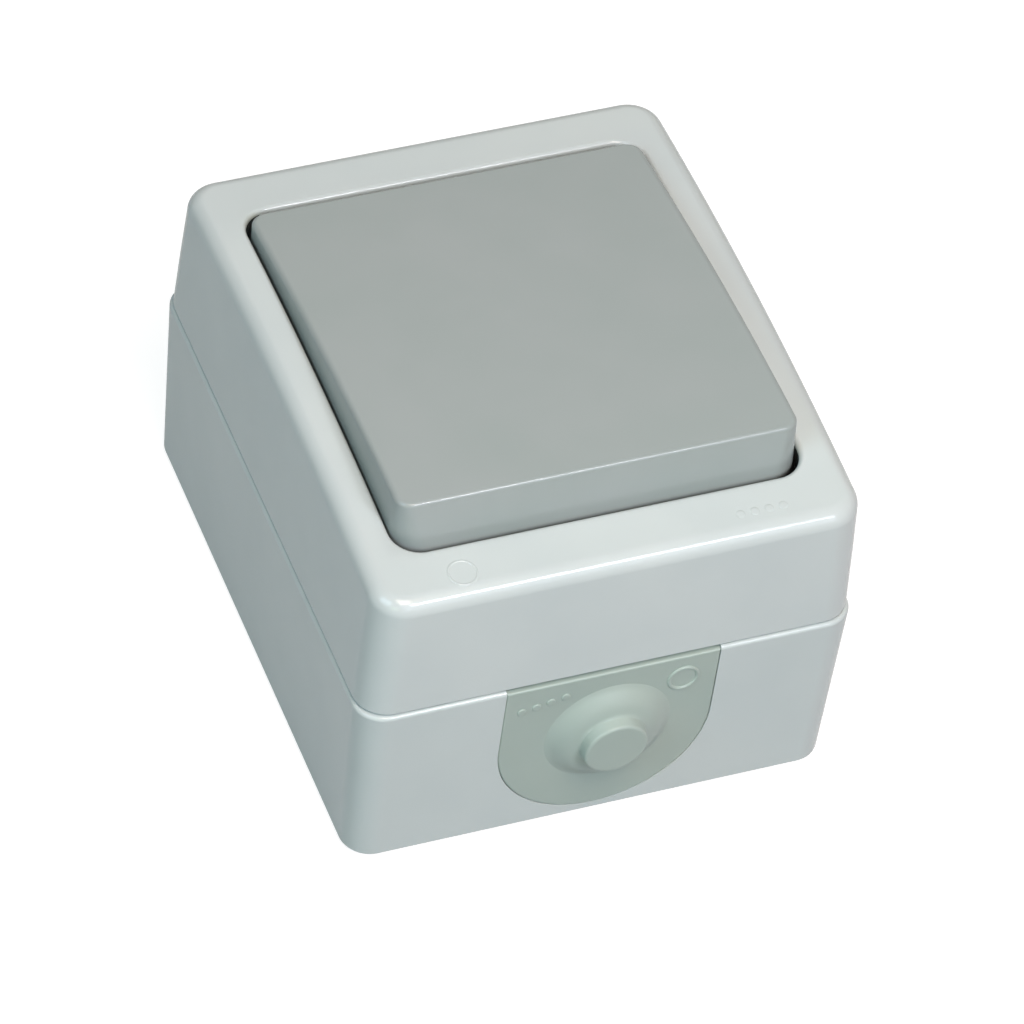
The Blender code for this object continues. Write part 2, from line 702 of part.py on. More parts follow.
def strip_legs():
    # Plan rectangles of each contact strip, from its contact to its clamp
    half = STRIP_WIDTH / 2
    end = -TERMINAL_REACH - CLAMP_LENGTH / 2
    lane = TERMINAL_PITCH
    return {
        "common_terminal": [((-half, -half), (lane + half, half)), ((lane - half, half), (lane + half, end))],
        "lower_terminal": [((-half, -contact_reach + half), (half, end))],
        "upper_terminal": [
            ((half, contact_reach + half), (-lane - half, contact_reach - half)),
            ((-lane + half, contact_reach + half), (-lane - half, end)),
        ],
    }


def make_strips():
    legs = strip_legs()
    hole = RIVET_RADIUS + RUNNING_GAP
    for name, parts in legs.items():
        corner_a, corner_b = parts[0]
        mesh = block(
            name,
            (min(corner_a[0], corner_b[0]), min(corner_a[1], corner_b[1]), strip_under),
            (max(corner_a[0], corner_b[0]), max(corner_a[1], corner_b[1]), strip_top),
        )
        strip = make(name, mesh, brass)
        for corner_a, corner_b in parts[1:]:
            leg = block(
                "leg",
                (min(corner_a[0], corner_b[0]), min(corner_a[1], corner_b[1]), strip_under),
                (max(corner_a[0], corner_b[0]), max(corner_a[1], corner_b[1]), strip_top),
            )
            fuse(strip, name + "_leg", leg)
        if name == "common_terminal":
            add_cradle(strip)
        else:
            y = contact_reach if name == "upper_terminal" else -contact_reach
            drill = rod("rivet_hole", hole, strip_under - PASS, strip_top + PASS, SMALL_ROUND)
            cut(strip, name + "_rivet_hole", drill, place=(0, y, 0))


def add_cradle(strip):
    # Two ears that carry the contact arm's pivot
    near = ARM_HUB_WIDTH / 2 + RUNNING_GAP
    far = near + CRADLE_EAR
    hole = ARM_PIN_RADIUS + RUNNING_GAP
    radius = hole + CRADLE_EDGE
    floor = block("cradle_floor", (-far, -STRIP_WIDTH / 2, strip_under), (far, STRIP_WIDTH / 2, strip_top))
    fuse(strip, "cradle_floor", floor)
    top = arm_pivot_height + radius
    for name, side in (("left_cradle_ear", -1), ("right_cradle_ear", 1)):
        low, high = sorted((side * near, side * far))
        upright = block(name, (low, -STRIP_WIDTH / 2, strip_under), (high, STRIP_WIDTH / 2, top))
        fuse(strip, name, upright)
    drill = rod("pivot_hole", hole, -far - PASS, far + PASS, SMALL_ROUND, "X")
    cut(strip, "pivot_hole", drill, place=(0, 0, arm_pivot_height))


def make_contact_arm():
    half = ARM_WIDTH / 2
    blade = block("contact_arm", (-half, -ARM_REACH, arm_under), (half, ARM_REACH, ARM_RISE))
    arm = make("contact_arm", blade, brass, parent=arm_pivot)
    hub_x = ARM_HUB_WIDTH / 2
    hub_y = ARM_HUB_LENGTH / 2
    hub = block("hub", (-hub_x, -hub_y, -ARM_PIN_RADIUS), (hub_x, hub_y, (arm_under + ARM_RISE) / 2))
    fuse(arm, "arm_hub", hub, parent=arm_pivot)
    reach = hub_x + RUNNING_GAP + CRADLE_EAR
    fuse(arm, "arm_pins", rod("pins", ARM_PIN_RADIUS, -reach, reach, SMALL_ROUND, "X"), parent=arm_pivot)
    for name, side in (("lower", -1), ("upper", 1)):
        drill = rod("rivet_hole", RIVET_RADIUS + RUNNING_GAP, arm_under - PASS, ARM_RISE + PASS, SMALL_ROUND)
        cut(arm, name + "_arm_rivet_hole", drill, parent=arm_pivot, place=(0, side * contact_reach, 0))


def rivet_profile(face, shank_end):
    # Domed contact head, then its shank, written for a head that points up
    head = face - CONTACT_HEIGHT
    edge = CONTACT_HEIGHT * CONTACT_EDGE_SHARE
    return [
        (0, face),
        (CONTACT_RADIUS - edge, face),
        (CONTACT_RADIUS, face - edge),
        (CONTACT_RADIUS, head),
        (RIVET_RADIUS, head),
        (RIVET_RADIUS, shank_end),
        (0, shank_end),
    ]


def make_contacts():
    for name, side in (("lower", -1), ("upper", 1)):
        fixed = turned(
            name + "_fixed_contact",
            rivet_profile(fixed_contact_top, strip_under - GAP),
            switch_parts,
            SMALL_ROUND,
            place=(0, side * contact_reach, 0),
        )
        fixed.data.materials.append(silver)
        moving = turned(
            name + "_moving_contact",
            rivet_profile(-contact_face, -ARM_RISE),
            switch_parts,
            SMALL_ROUND,
            parent=arm_pivot,
            place=(0, side * contact_reach, 0),
            turn=(pi, 0, 0),
        )
        moving.data.materials.append(silver)


def make_clamps():
    half_x = CLAMP_WIDTH / 2
    half_y = CLAMP_LENGTH / 2
    window = max(STRIP_WIDTH / 2 + GAP, WIRE_SPACE / 2)
    sizes = (CLAMP_SCREW_RADIUS, CLAMP_HEAD_RADIUS, CLAMP_HEAD_HEIGHT)
    top = clamp_window_top + CLAMP_WALL
    for name, x in terminal_places:
        place = (x, -TERMINAL_REACH, 0)
        cage = block("cage", (-half_x, -half_y, clamp_under), (half_x, half_y, top))
        clamp = make(name + "_clamp", cage, steel, place=place)
        gap = block(
            "window", (-window, -half_y - PASS, clamp_window_under), (window, half_y + PASS, clamp_window_top)
        )
        cut(clamp, name + "_window", gap, place=place)
        thread = CLAMP_SCREW_RADIUS + RUNNING_GAP
        drill = rod("thread", thread, clamp_window_top - PASS, top + PASS, SMALL_ROUND)
        cut(clamp, name + "_thread", drill, place=place)
        make_screw(name + "_screw", place, top + CLAMP_HEAD_RISE, clamp_window_top, *sizes)


def make_screw(name, place, seat, tip, radius, head_radius, head_height):
    # Pan head with a driver slot; the head's underside is at the seat
    edge = head_height * HEAD_EDGE_SHARE
    profile = [
        (0, seat + head_height),
        (head_radius - edge, seat + head_height),
        (head_radius, seat + head_height - edge),
        (head_radius, seat),
        (radius, seat),
        (radius, tip + radius * TIP_SHARE),
        (radius * TIP_SHARE, tip),
        (0, tip),
    ]
    screw = turned(name, profile, switch_parts, SMALL_ROUND, place=place)
    screw.data.materials.append(steel)
    half = DRIVER_SLOT / 2
    top = seat + head_height
    reach = head_radius + PASS
    floor = top - head_height * DRIVER_SLOT_SHARE
    slot = block("driver_slot", (-reach, -half, floor), (reach, half, top + PASS))
    cut(screw, name + "_slot", slot, place=place)


def make_mechanism_frame():
    half = MECHANISM_WIDTH / 2
    plate = block(
        "mechanism_frame",
        (-half, -MECHANISM_BOTTOM_END, frame_under),
        (half, MECHANISM_TOP_END, frame_top),
    )
    frame = make("mechanism_frame", plate, dark_plastic)
    reach = half + LUG_REACH
    lugs = block("lugs", (-reach, -LUG_LENGTH / 2, frame_under), (reach, LUG_LENGTH / 2, frame_top))
    fuse(frame, "lugs", lugs)

    turret = rounded_rectangle(turret_x, turret_y, TURRET_WALL)
    fuse(frame, "turret", extrude_outline("turret", turret, frame_under, turret_top))
    steps = 8
    for name, side in (("left_ear", -1), ("right_ear", 1)):
        outline = [(-EAR_RADIUS, turret_top - PASS), (EAR_RADIUS, turret_top - PASS)]
        for step in range(steps + 1):
            angle = pi * step / steps
            outline.append((EAR_RADIUS * cos(angle), axis_height + EAR_RADIUS * sin(angle)))
        ends = []
        for x in sorted((side * turret_x, side * (turret_x - EAR_THICKNESS))):
            ends.append([(x, y, z) for y, z in outline])
        fuse(frame, name, loft(name, ends))
    hole = rod("trunnion_hole", PIN_RADIUS + RUNNING_GAP, -turret_x - PASS, turret_x + PASS, ROUND, "X")
    cut(frame, "trunnion_hole", hole, place=(0, 0, axis_height))

    # Room for the stem and its swing
    corner = (-stem_room_x, -stem_room_y, frame_under - PASS)
    shaft = block("stem_room", corner, (stem_room_x, stem_room_y, turret_top + PASS))
    cut(frame, "stem_room", shaft)
    low = frame_under - PASS
    high = frame_top + PASS
    for name, x in terminal_places:
        access = rod("access", CLAMP_HEAD_RADIUS + RUNNING_GAP, low, high, SMALL_ROUND)
        cut(frame, name + "_access", access, place=(x, -TERMINAL_REACH, 0))
    for name, x in (("left_lug_hole", -lug_x), ("right_lug_hole", lug_x)):
        drill = rod(name, SCREW_RADIUS + RUNNING_GAP, low, high, SMALL_ROUND)
        cut(frame, name, drill, place=(x, 0, 0))


def make_seal():
    # Rubber collar round the turret, on the floor of the cover's well
    low = well_floor_top + GAP
    inside = rounded_rectangle(turret_x + GAP, turret_y + GAP, TURRET_WALL + GAP)
    outside = rounded_rectangle(
        turret_x + GAP + SEAL_WIDTH, turret_y + GAP + SEAL_WIDTH, TURRET_WALL + GAP + SEAL_WIDTH
    )
    rings = [
        at_height(inside, low),
        at_height(outside, low),
        at_height(outside, low + SEAL_HEIGHT),
        at_height(inside, low + SEAL_HEIGHT),
    ]
    make("turret_seal", loft("turret_seal", rings, closed=True), soft_grey)


def make_fasteners():
    sizes = (SCREW_RADIUS, SCREW_HEAD_RADIUS, SCREW_HEAD_HEIGHT)
    for name, side in (("left", -1), ("right", 1)):
        seat = frame_top + GAP
        tip = frame_under - GAP - SCREW_BITE
        make_screw(name + "_mechanism_screw", (side * lug_x, 0, 0), seat, tip, *sizes)
    for name, side in (("lower", -1), ("upper", 1)):
        seat = well_floor_top + GAP
        tip = well_floor_under - GAP - SCREW_BITE
        spot = (side * cover_screw_x, side * cover_screw_y, 0)
        make_screw(name + "_cover_screw", spot, seat, tip, *sizes)


clear_scene()
switch_parts = new_collection("surface_light_switch")
tool_shapes = new_collection("cutters")
guides = new_collection("joint_guides")

body_grey = plastic("body_grey", (0.62, 0.67, 0.67), 0.32)
rocker_grey = plastic("rocker_grey", (0.36, 0.41, 0.40), 0.30)
soft_grey = plastic("soft_grey", (0.31, 0.38, 0.35), 0.55)
dark_plastic = plastic("dark_plastic", (0.06, 0.065, 0.07), 0.5)
brass = plastic("brass", (0.75, 0.56, 0.26), 0.3, 1.0)
silver = plastic("silver", (0.8, 0.8, 0.78), 0.25, 1.0)
steel = plastic("steel", (0.6, 0.6, 0.6), 0.35, 1.0)

terminal_places = (("left", -TERMINAL_PITCH), ("middle", 0.0), ("right", TERMINAL_PITCH))
rocker_axis = add_object("rocker_axis", None, guides, place=(0, 0, axis_height), turn=(-ROCKER_TILT, 0, 0))
arm_pivot = add_object("arm_pivot", None, guides, place=(0, 0, arm_pivot_height), turn=(ARM_TILT, 0, 0))
back_end = half_length - BOX_DRAFT_Y
upright = pi / 2 + entry_lean
bottom_entry = add_object("bottom_entry", None, guides, place=(0, -back_end, 0), turn=(upright, 0, 0))
top_entry = add_object("top_entry", None, guides, place=(0, back_end, 0), turn=(upright, 0, pi))

make_box()
make_cover()
make_gasket()
make_grommet("bottom_cable_grommet", bottom_entry)
make_grommet("top_cable_grommet", top_entry)
make_rocker()
make_actuator()
make_plunger()
make_spring()
make_insulator()
make_mechanism_frame()
make_seal()
make_strips()
make_contact_arm()
make_contacts()
make_clamps()
make_fasteners()
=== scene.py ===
import bmesh
import bpy
import json
from math import atan2, cos, pi, radians, sin
from mathutils import Matrix, Vector


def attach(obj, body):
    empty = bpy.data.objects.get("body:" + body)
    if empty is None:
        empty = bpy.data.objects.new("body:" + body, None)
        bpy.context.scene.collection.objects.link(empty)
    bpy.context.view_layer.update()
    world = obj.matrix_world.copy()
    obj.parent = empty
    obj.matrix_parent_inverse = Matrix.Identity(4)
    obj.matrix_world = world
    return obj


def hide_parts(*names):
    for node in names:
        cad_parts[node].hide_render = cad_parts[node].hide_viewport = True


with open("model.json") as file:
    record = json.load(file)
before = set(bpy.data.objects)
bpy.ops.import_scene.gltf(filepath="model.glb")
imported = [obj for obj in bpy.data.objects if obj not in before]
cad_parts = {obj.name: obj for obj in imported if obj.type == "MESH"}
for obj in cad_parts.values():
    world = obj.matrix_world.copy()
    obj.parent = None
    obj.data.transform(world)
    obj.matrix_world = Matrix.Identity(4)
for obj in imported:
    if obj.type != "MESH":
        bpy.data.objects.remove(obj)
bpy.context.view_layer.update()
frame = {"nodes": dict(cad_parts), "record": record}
print("frame loaded:", len(frame["nodes"]), "nodes")


def newMaterial(name):
    material = bpy.data.materials.new(name)
    material.use_nodes = True
    nodes = material.node_tree.nodes
    shader = nodes["Principled BSDF"]
    place = nodes.new("ShaderNodeTexCoord")
    place.location = (-1300, 0)
    return material, nodes, material.node_tree.links, shader, place.outputs["Object"]


def addNoise(nodes, links, place, scale, detail=3.0, spot=(-1000, 0)):
    noise = nodes.new("ShaderNodeTexNoise")
    noise.location = spot
    noise.inputs["Scale"].default_value = scale
    noise.inputs["Detail"].default_value = detail
    links.new(place, noise.inputs["Vector"])
    return noise.outputs["Fac"]


def addRange(nodes, links, value, low, high, spot=(-700, 0), start=0.3, end=0.7):
    spread = nodes.new("ShaderNodeMapRange")
    spread.location = spot
    spread.inputs["From Min"].default_value = start
    spread.inputs["From Max"].default_value = end
    spread.inputs["To Min"].default_value = low
    spread.inputs["To Max"].default_value = high
    links.new(value, spread.inputs["Value"])
    return spread.outputs["Result"]


def addColours(nodes, links, factor, first, second, spot=(-400, 200)):
    mix = nodes.new("ShaderNodeMix")
    mix.data_type = "RGBA"
    mix.location = spot
    mix.inputs["A"].default_value = (*first, 1)
    mix.inputs["B"].default_value = (*second, 1)
    links.new(factor, mix.inputs["Factor"])
    return mix.outputs["Result"]


def addBumps(nodes, links, shader, heights):
    # heights is a list of (value, strength, depth in metres), laid over each other
    last = None
    for step, (value, strength, depth) in enumerate(heights):
        bump = nodes.new("ShaderNodeBump")
        bump.location = (-500 + 180 * step, -400)
        bump.inputs["Strength"].default_value = strength
        bump.inputs["Distance"].default_value = depth
        links.new(value, bump.inputs["Height"])
        if last:
            links.new(last, bump.inputs["Normal"])
        last = bump.outputs["Normal"]
    links.new(last, shader.inputs["Normal"])


def addPaintedFootShade(nodes, links, place, colour, shade):
    # Painted shade on the foot of a skirt, darker below a plane that leans with the rocker
    along = nodes.new("ShaderNodeVectorMath")
    along.operation = "DOT_PRODUCT"
    along.location = (-1000, 700)
    along.inputs[1].default_value = (0, sin(shade["lean"]), cos(shade["lean"]))
    links.new(place, along.inputs[0])
    start, end = shade["heights"]
    share = addRange(nodes, links, along.outputs["Value"], 0, 1, (-700, 700), start, end)
    mix = nodes.new("ShaderNodeMix")
    mix.data_type = "RGBA"
    mix.location = (-200, 500)
    mix.inputs["A"].default_value = (*shade["colour"], 1)
    links.new(colour, mix.inputs["B"])
    links.new(share, mix.inputs["Factor"])
    return mix.outputs["Result"]


def mouldedPlastic(name, finish):
    # Spark-eroded satin: fine grain over a slow flow of tone and gloss
    material, nodes, links, shader, place = newMaterial(name)
    flow = addNoise(nodes, links, place, finish["flowScale"], 2.0, (-1000, 300))
    grain = addNoise(nodes, links, place, finish["grainScale"], 2.0, (-1000, -300))
    ripple = addNoise(nodes, links, place, finish["rippleScale"], 1.0, (-1000, -600))
    tone = addRange(nodes, links, flow, 0, 1, (-700, 300))
    colour = addColours(nodes, links, tone, finish["colour"], finish["second"])
    # painted shade: the skirt's foot darkened where the narrow gap's shadow falls
    if "foot" in finish:
        colour = addPaintedFootShade(nodes, links, place, colour, finish["foot"])
    links.new(colour, shader.inputs["Base Color"])
    low, high = finish["roughness"]
    links.new(addRange(nodes, links, grain, low, high, (-700, -100)), shader.inputs["Roughness"])
    shader.inputs["IOR"].default_value = finish["ior"]
    shader.inputs["Subsurface Weight"].default_value = finish.get("softness", 0)
    shader.inputs["Subsurface Radius"].default_value = (1, 1, 1)
    shader.inputs["Subsurface Scale"].default_value = 0.0008    # depth that light reaches
    grainBump = (grain, finish["grainStrength"], finish["grainDepth"])
    rippleBump = (ripple, finish["rippleStrength"], finish["rippleDepth"])
    addBumps(nodes, links, shader, [rippleBump, grainBump])
    return material


metal = {"lineScale": 2600, "tarnishScale": 420, "lineStrength": 0.25, "lineDepth": 0.00001}


def brightMetal(name, finish):
    # Rolled or turned metal: fine drawn lines, thumb-dulled patches
    material, nodes, links, shader, place = newMaterial(name)
    stretch = nodes.new("ShaderNodeMapping")
    stretch.location = (-1150, -300)
    stretch.inputs["Scale"].default_value = finish["drawn"]
    links.new(place, stretch.inputs["Vector"])
    lines = addNoise(nodes, links, stretch.outputs["Vector"], metal["lineScale"], 4.0, (-1000, -300))
    tarnish = addNoise(nodes, links, place, metal["tarnishScale"], 4.0, (-1000, 200))
    tone = addRange(nodes, links, tarnish, 0, 1, (-700, 250), 0.35, 0.75)
    colour = addColours(nodes, links, tone, finish["colour"], finish["second"])
    links.new(colour, shader.inputs["Base Color"])
    low, high = finish["roughness"]
    links.new(addRange(nodes, links, tarnish, low, high, (-700, -50)), shader.inputs["Roughness"])
    shader.inputs["Metallic"].default_value = 1.0
    addBumps(nodes, links, shader, [(lines, metal["lineStrength"], metal["lineDepth"])])
    return material


bodyFinish = {
    "colour": (0.615, 0.665, 0.665),
    "second": (0.650, 0.695, 0.690),
    "roughness": (0.13, 0.20),
    "ior": 1.5,
    "flowScale": 70,
    "grainScale": 5200,
    "grainStrength": 0.10,
    "grainDepth": 0.00002,
    "rippleScale": 330,
    "rippleStrength": 0.05,
    "rippleDepth": 0.00006,
}
# The body's plastic a little darker: painted shade for the box's walls, which catch less light than the
# cover's
paintedShadeBoxFinish = {
    **bodyFinish,
    "colour": (0.596, 0.652, 0.652),
    "second": (0.630, 0.682, 0.677),
}
rockerTilt = radians(4.3)    # at rest the bottom end stands proud
rockerFinish = {
    **bodyFinish,
    "colour": (0.343, 0.386, 0.376),
    "second": (0.366, 0.401, 0.396),
    "roughness": (0.15, 0.22),
    # painted shade: the skirt's foot is dark where the narrow gap's shadow falls on it
    "foot": {"colour": (0.06, 0.066, 0.066), "lean": rockerTilt, "heights": (0.04272, 0.04362)},
}
paintedShadowFinish = {    # painted shadow on the walls of the narrow gap beside the rocker, as dark as the photo's shadow there
    **bodyFinish,
    "colour": (0.075, 0.082, 0.082),
    "second": (0.090, 0.098, 0.098),
}
grommetFinish = {
    **bodyFinish,
    "colour": (0.400, 0.480, 0.442),
    "second": (0.428, 0.499, 0.456),
    "roughness": (0.34, 0.44),
    "ior": 1.48,
    "softness": 0.15,
    "grainStrength": 0.18,
}
mechanismFinish = {
    **bodyFinish,
    "colour": (0.050, 0.053, 0.057),
    "second": (0.068, 0.070, 0.074),
    "roughness": (0.42, 0.58),
    "grainStrength": 0.25,
}
brassFinish = {
    "colour": (0.760, 0.560, 0.255),
    "second": (0.640, 0.440, 0.190),
    "roughness": (0.20, 0.38),
    "drawn": (1, 0.08, 1),
}
silverFinish = {
    "colour": (0.830, 0.820, 0.790),
    "second": (0.700, 0.690, 0.660),
    "roughness": (0.16, 0.30),
    "drawn": (1, 1, 1),
}
steelFinish = {
    "colour": (0.620, 0.630, 0.640),
    "second": (0.520, 0.530, 0.545),
    "roughness": (0.24, 0.42),
    "drawn": (1, 1, 0.1),
}

bodyPlastic = mouldedPlastic("bodyPlastic", bodyFinish)
paintedShadeBoxPlastic = mouldedPlastic("paintedShadeBoxPlastic", paintedShadeBoxFinish)
# the well walls' dark finish is a painted shadow
paintedShadowPlastic = mouldedPlastic("paintedShadowPlastic", paintedShadowFinish)
rockerPlastic = mouldedPlastic("rockerPlastic", rockerFinish)
softElastomer = mouldedPlastic("softElastomer", grommetFinish)
mechanismPlastic = mouldedPlastic("mechanismPlastic", mechanismFinish)
rolledBrass = brightMetal("rolledBrass", brassFinish)
contactSilver = brightMetal("contactSilver", silverFinish)
platedSteel = brightMetal("platedSteel", steelFinish)

slotFinishes = {
    "body_grey": bodyPlastic,
    "rocker_grey": rockerPlastic,
    "soft_grey": softElastomer,
    "dark_plastic": mechanismPlastic,
    "brass": rolledBrass,
    "silver": contactSilver,
    "steel": platedSteel,
}
for entry in frame["record"]["subparts"]:
    node = frame["nodes"][entry["node"]]
    node.data.materials.clear()
    node.data.materials.append(slotFinishes[entry["material_slot"]])
print("finishes made")


closeTo = 1e-7              # a point this near a ring's side lies on it
mergeDistance = 0.000002    # points nearer than this are merged


def rest():
    # Back to object mode with nothing selected
    if bpy.context.object and bpy.context.object.mode != "OBJECT":
        bpy.ops.object.mode_set(mode="OBJECT")
    bpy.ops.object.select_all(action="DESELECT")


def startPiece(name):
    # An empty mesh, opened for editing
    rest()
    piece = bpy.data.objects.new(name, bpy.data.meshes.new(name))
    bpy.context.scene.collection.objects.link(piece)
    bpy.context.view_layer.objects.active = piece
    piece.select_set(True)
    bpy.ops.object.mode_set(mode="EDIT")
    bpy.ops.mesh.select_mode(type="VERT")
    return piece


def pick(test):
    # Selects the points whose place and ring number pass the test
    mesh = bpy.context.object.data
    shape = bmesh.from_edit_mesh(mesh)
    mark = shape.verts.layers.int.get("ring") or shape.verts.layers.int.new("ring")
    for vert in shape.verts:
        vert.select = bool(test(vert.co, vert[mark]))
    shape.select_flush_mode()
    bmesh.update_edit_mesh(mesh)


def markRing(number, rise=None):
    # Numbers the newest ring, and lifts it along the crown where one is given
    mesh = bpy.context.object.data
    shape = bmesh.from_edit_mesh(mesh)
    mark = shape.verts.layers.int.get("ring") or shape.verts.layers.int.new("ring")
    for vert in shape.verts:
        if vert[mark] == 0:
            vert[mark] = number
            if rise:
                vert.co.z += rise(vert.co.y)
    bmesh.update_edit_mesh(mesh)


def roundedRing(number, halfX, halfY, radius, height, steps, cuts, rise):
    # A plane with its four corners bevelled, kept as an open ring of edges
    centre = (0, 0, height)
    bpy.ops.mesh.select_all(action="DESELECT")
    bpy.ops.mesh.primitive_plane_add(size=1, location=centre)
    bpy.ops.transform.resize(value=(2 * halfX, 2 * halfY, 1), center_override=centre)
    bpy.ops.mesh.bevel(offset=radius, segments=steps, affect="VERTICES")
    bpy.ops.mesh.delete(type="ONLY_FACE")
    if cuts:
        pick(lambda spot, ring: ring == 0 and abs(spot.x) > halfX - closeTo)
        bpy.ops.mesh.subdivide(number_cuts=cuts)
    markRing(number, rise)


def archRing(number, radius, centre, top, height, steps):
    # A plane whose two lower corners are bevelled until they meet in a half round
    middle = (0, (top + centre - radius) / 2, height)
    bpy.ops.mesh.select_all(action="DESELECT")
    bpy.ops.mesh.primitive_plane_add(size=1, location=middle)
    bpy.ops.transform.resize(value=(2 * radius, top - centre + radius, 1), center_override=middle)
    pick(lambda spot, ring: ring == 0 and spot.y < middle[1])
    almost = 0.9999    # a full radius would lay the ends of the two bevels on one point
    bpy.ops.mesh.bevel(offset=radius * almost, segments=steps, affect="VERTICES")
    bpy.ops.mesh.delete(type="ONLY_FACE")
    markRing(number)


def bridgeRings(first, second):
    # Faces between two rings, which mustn't lie in one plane
    pick(lambda spot, ring: ring in (first, second))
    bpy.ops.mesh.bridge_edge_loops()


def capRing(number):
    # One flat face over a ring
    pick(lambda spot, ring: ring == number)
    bpy.ops.mesh.edge_face_add()


def stackRings(name, rings, addRing):
    # A solid made of rings bridged one to the next, with both ends capped
    piece = startPiece(name)
    for number, ring in enumerate(rings, 1):
        addRing(number, *ring)
    for number in range(1, len(rings)):
        bridgeRings(number, number + 1)
    capRing(1)
    capRing(len(rings))
    bpy.ops.mesh.select_all(action="SELECT")
    bpy.ops.mesh.normals_make_consistent(inside=False)
    rest()
    return piece


def joinAcross(piece):
    # Splits the crowned top into strips, from each point of its left edge to the same one on its right
    bpy.context.view_layer.objects.active = piece
    piece.select_set(True)
    bpy.ops.object.mode_set(mode="EDIT")
    bpy.ops.mesh.select_mode(type="VERT")
    shape = bmesh.from_edit_mesh(piece.data)
    mark = shape.verts.layers.int["ring"]
    rows = sorted({round(vert.co.y, 6) for vert in shape.verts if vert[mark] == 1})
    for row in rows[1:-1]:
        pick(lambda spot, ring: ring == 1 and abs(spot.y - row) < mergeDistance)
        bpy.ops.mesh.vert_connect()
    rest()


def turnedPiece(name, profile, sides):
    # A circle drawn up into a turned form, one extrusion for each step of (radius, height)
    piece = startPiece(name)
    radius, height = profile[0]
    bpy.ops.mesh.primitive_circle_add(vertices=sides, radius=radius, location=(0, 0, height))
    bpy.ops.mesh.edge_face_add()
    bpy.ops.mesh.select_all(action="SELECT")
    for nextRadius, nextHeight in profile[1:]:
        bpy.ops.mesh.extrude_region_move(
            TRANSFORM_OT_translate={"value": (0, 0, nextHeight - height)}
        )
        grow = nextRadius / radius
        bpy.ops.transform.resize(value=(grow, grow, 1), center_override=(0, 0, nextHeight))
        radius, height = nextRadius, nextHeight
    bpy.ops.mesh.select_all(action="SELECT")
    bpy.ops.mesh.normals_make_consistent(inside=False)
    rest()
    return piece


def boxPiece(name, low, high):
    # A plain block between two corners, for a cutter
    piece = startPiece(name)
    middle = [(a + b) / 2 for a, b in zip(low, high)]
    bpy.ops.mesh.primitive_cube_add(size=1, location=middle)
    size = [b - a for a, b in zip(low, high)]
    bpy.ops.transform.resize(value=size, center_override=middle)
    rest()
    return piece


def setPlace(piece, matrix):
    # Moves the mesh and leaves the object at the origin
    piece.data.transform(matrix)
    piece.data.update()


def combine(piece, other, operation):
    # An exact boolean with another piece, which is then thrown away
    rest()
    bpy.context.view_layer.objects.active = piece
    piece.select_set(True)
    step = piece.modifiers.new(other.name, "BOOLEAN")
    step.operation = operation
    step.solver = "EXACT"
    step.object = other
    bpy.ops.object.modifier_apply(modifier=step.name)
    bpy.data.objects.remove(other, do_unlink=True)
    rest()


def drillHoles(piece, spots, profile, sides):
    # Turned cutters, taken out of the piece one after the other
    for x, y in spots:
        drill = turnedPiece("drill", profile, sides)
        setPlace(drill, Matrix.Translation((x, y, 0)))
        combine(piece, drill, "DIFFERENCE")


def addDots(piece, spots, profile, place):
    # Raised dots, each moved by the matrix that place gives for its spot
    dotSides = 20
    for x, y in spots:
        dot = turnedPiece("dot", profile, dotSides)
        setPlace(dot, place(x, y))
        combine(piece, dot, "UNION")


def addRingMark(piece, major, minor, centre, matrix=None):
    # A ring sunk in the face, so that only a low ridge shows
    ring = startPiece("ring")
    bpy.ops.mesh.primitive_torus_add(
        major_radius=major, minor_radius=minor, major_segments=48, minor_segments=12, location=centre,
    )
    rest()
    if matrix:
        setPlace(ring, matrix)
    combine(piece, ring, "UNION")


def finishPiece(piece, material, body, nodes, angle=32):
    # Merges doubles, evens the shading, sets the finish and says what the piece is in the frame
    rest()
    bpy.context.view_layer.objects.active = piece
    piece.select_set(True)
    bpy.ops.object.mode_set(mode="EDIT")
    bpy.ops.mesh.select_all(action="SELECT")
    bpy.ops.mesh.remove_doubles(threshold=mergeDistance)
    rest()
    piece.select_set(True)
    bpy.ops.object.shade_smooth_by_angle(angle=radians(angle))
    weight = piece.modifiers.new("evenShading", "WEIGHTED_NORMAL")
    weight.keep_sharp = True
    weight.weight = 80    # large faces stay flat beside small rounds
    bpy.ops.object.modifier_apply(modifier=weight.name)
    mark = piece.data.attributes.get("ring")
    if mark:
        piece.data.attributes.remove(mark)
    piece.data.materials.clear()
    piece.data.materials.append(material)
    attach(piece, body)
    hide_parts(*nodes)
    rest()
    print(piece.name, len(piece.data.polygons), "faces")


def quarterRound(size, steps):
    # Inset and drop of each point round an edge, from upright to flat
    turns = [pi / 2 * step / steps for step in range(steps + 1)]
    return [(size * (1 - cos(turn)), size * (1 - sin(turn))) for turn in turns]


sliver = 0.00002    # height between nested rings, which a bridge needs
box = {
    "halfX": 0.033, "halfY": 0.03865, "rim": 0.0267,
    "draftX": 0.00075, "draftY": 0.0006,
    "rimRadius": 0.004, "backRadius": 0.0039, "innerRadius": 0.0028,
    "wall": 0.0024, "floor": 0.002,
    "rimEdge": 0.0006, "backEdge": 0.00036, "rimChamfer": 0.0002, "floorChamfer": 0.0005,
    "steps": 12,
    # Cable entries: how far each cut goes over the rim, its radius, and its depths from the outer face
    "entryOver": 0.002, "entrySteps": 24,
    "entryCuts": {"recess": (0.01424, (-0.0015, 0.001)), "notch": (0.0122, (-0.0034, 0.001))},
    # Back: half sizes and corner radius of the moulded panel, and the ejector marks
    "panel": (0.0286, 0.0343, 0.0032), "panelHeights": (-0.001, 0.0003), "panelSteps": 8,
    "ejectorX": (-0.022, 0.022), "ejectorY": (-0.0275, 0.0, 0.0275),
    "ejector": [(0.0022, 0.0001), (0.0022, 0.00042)],
}
coverScrews = [(-0.01887, -0.0231), (0.01887, 0.0231)]
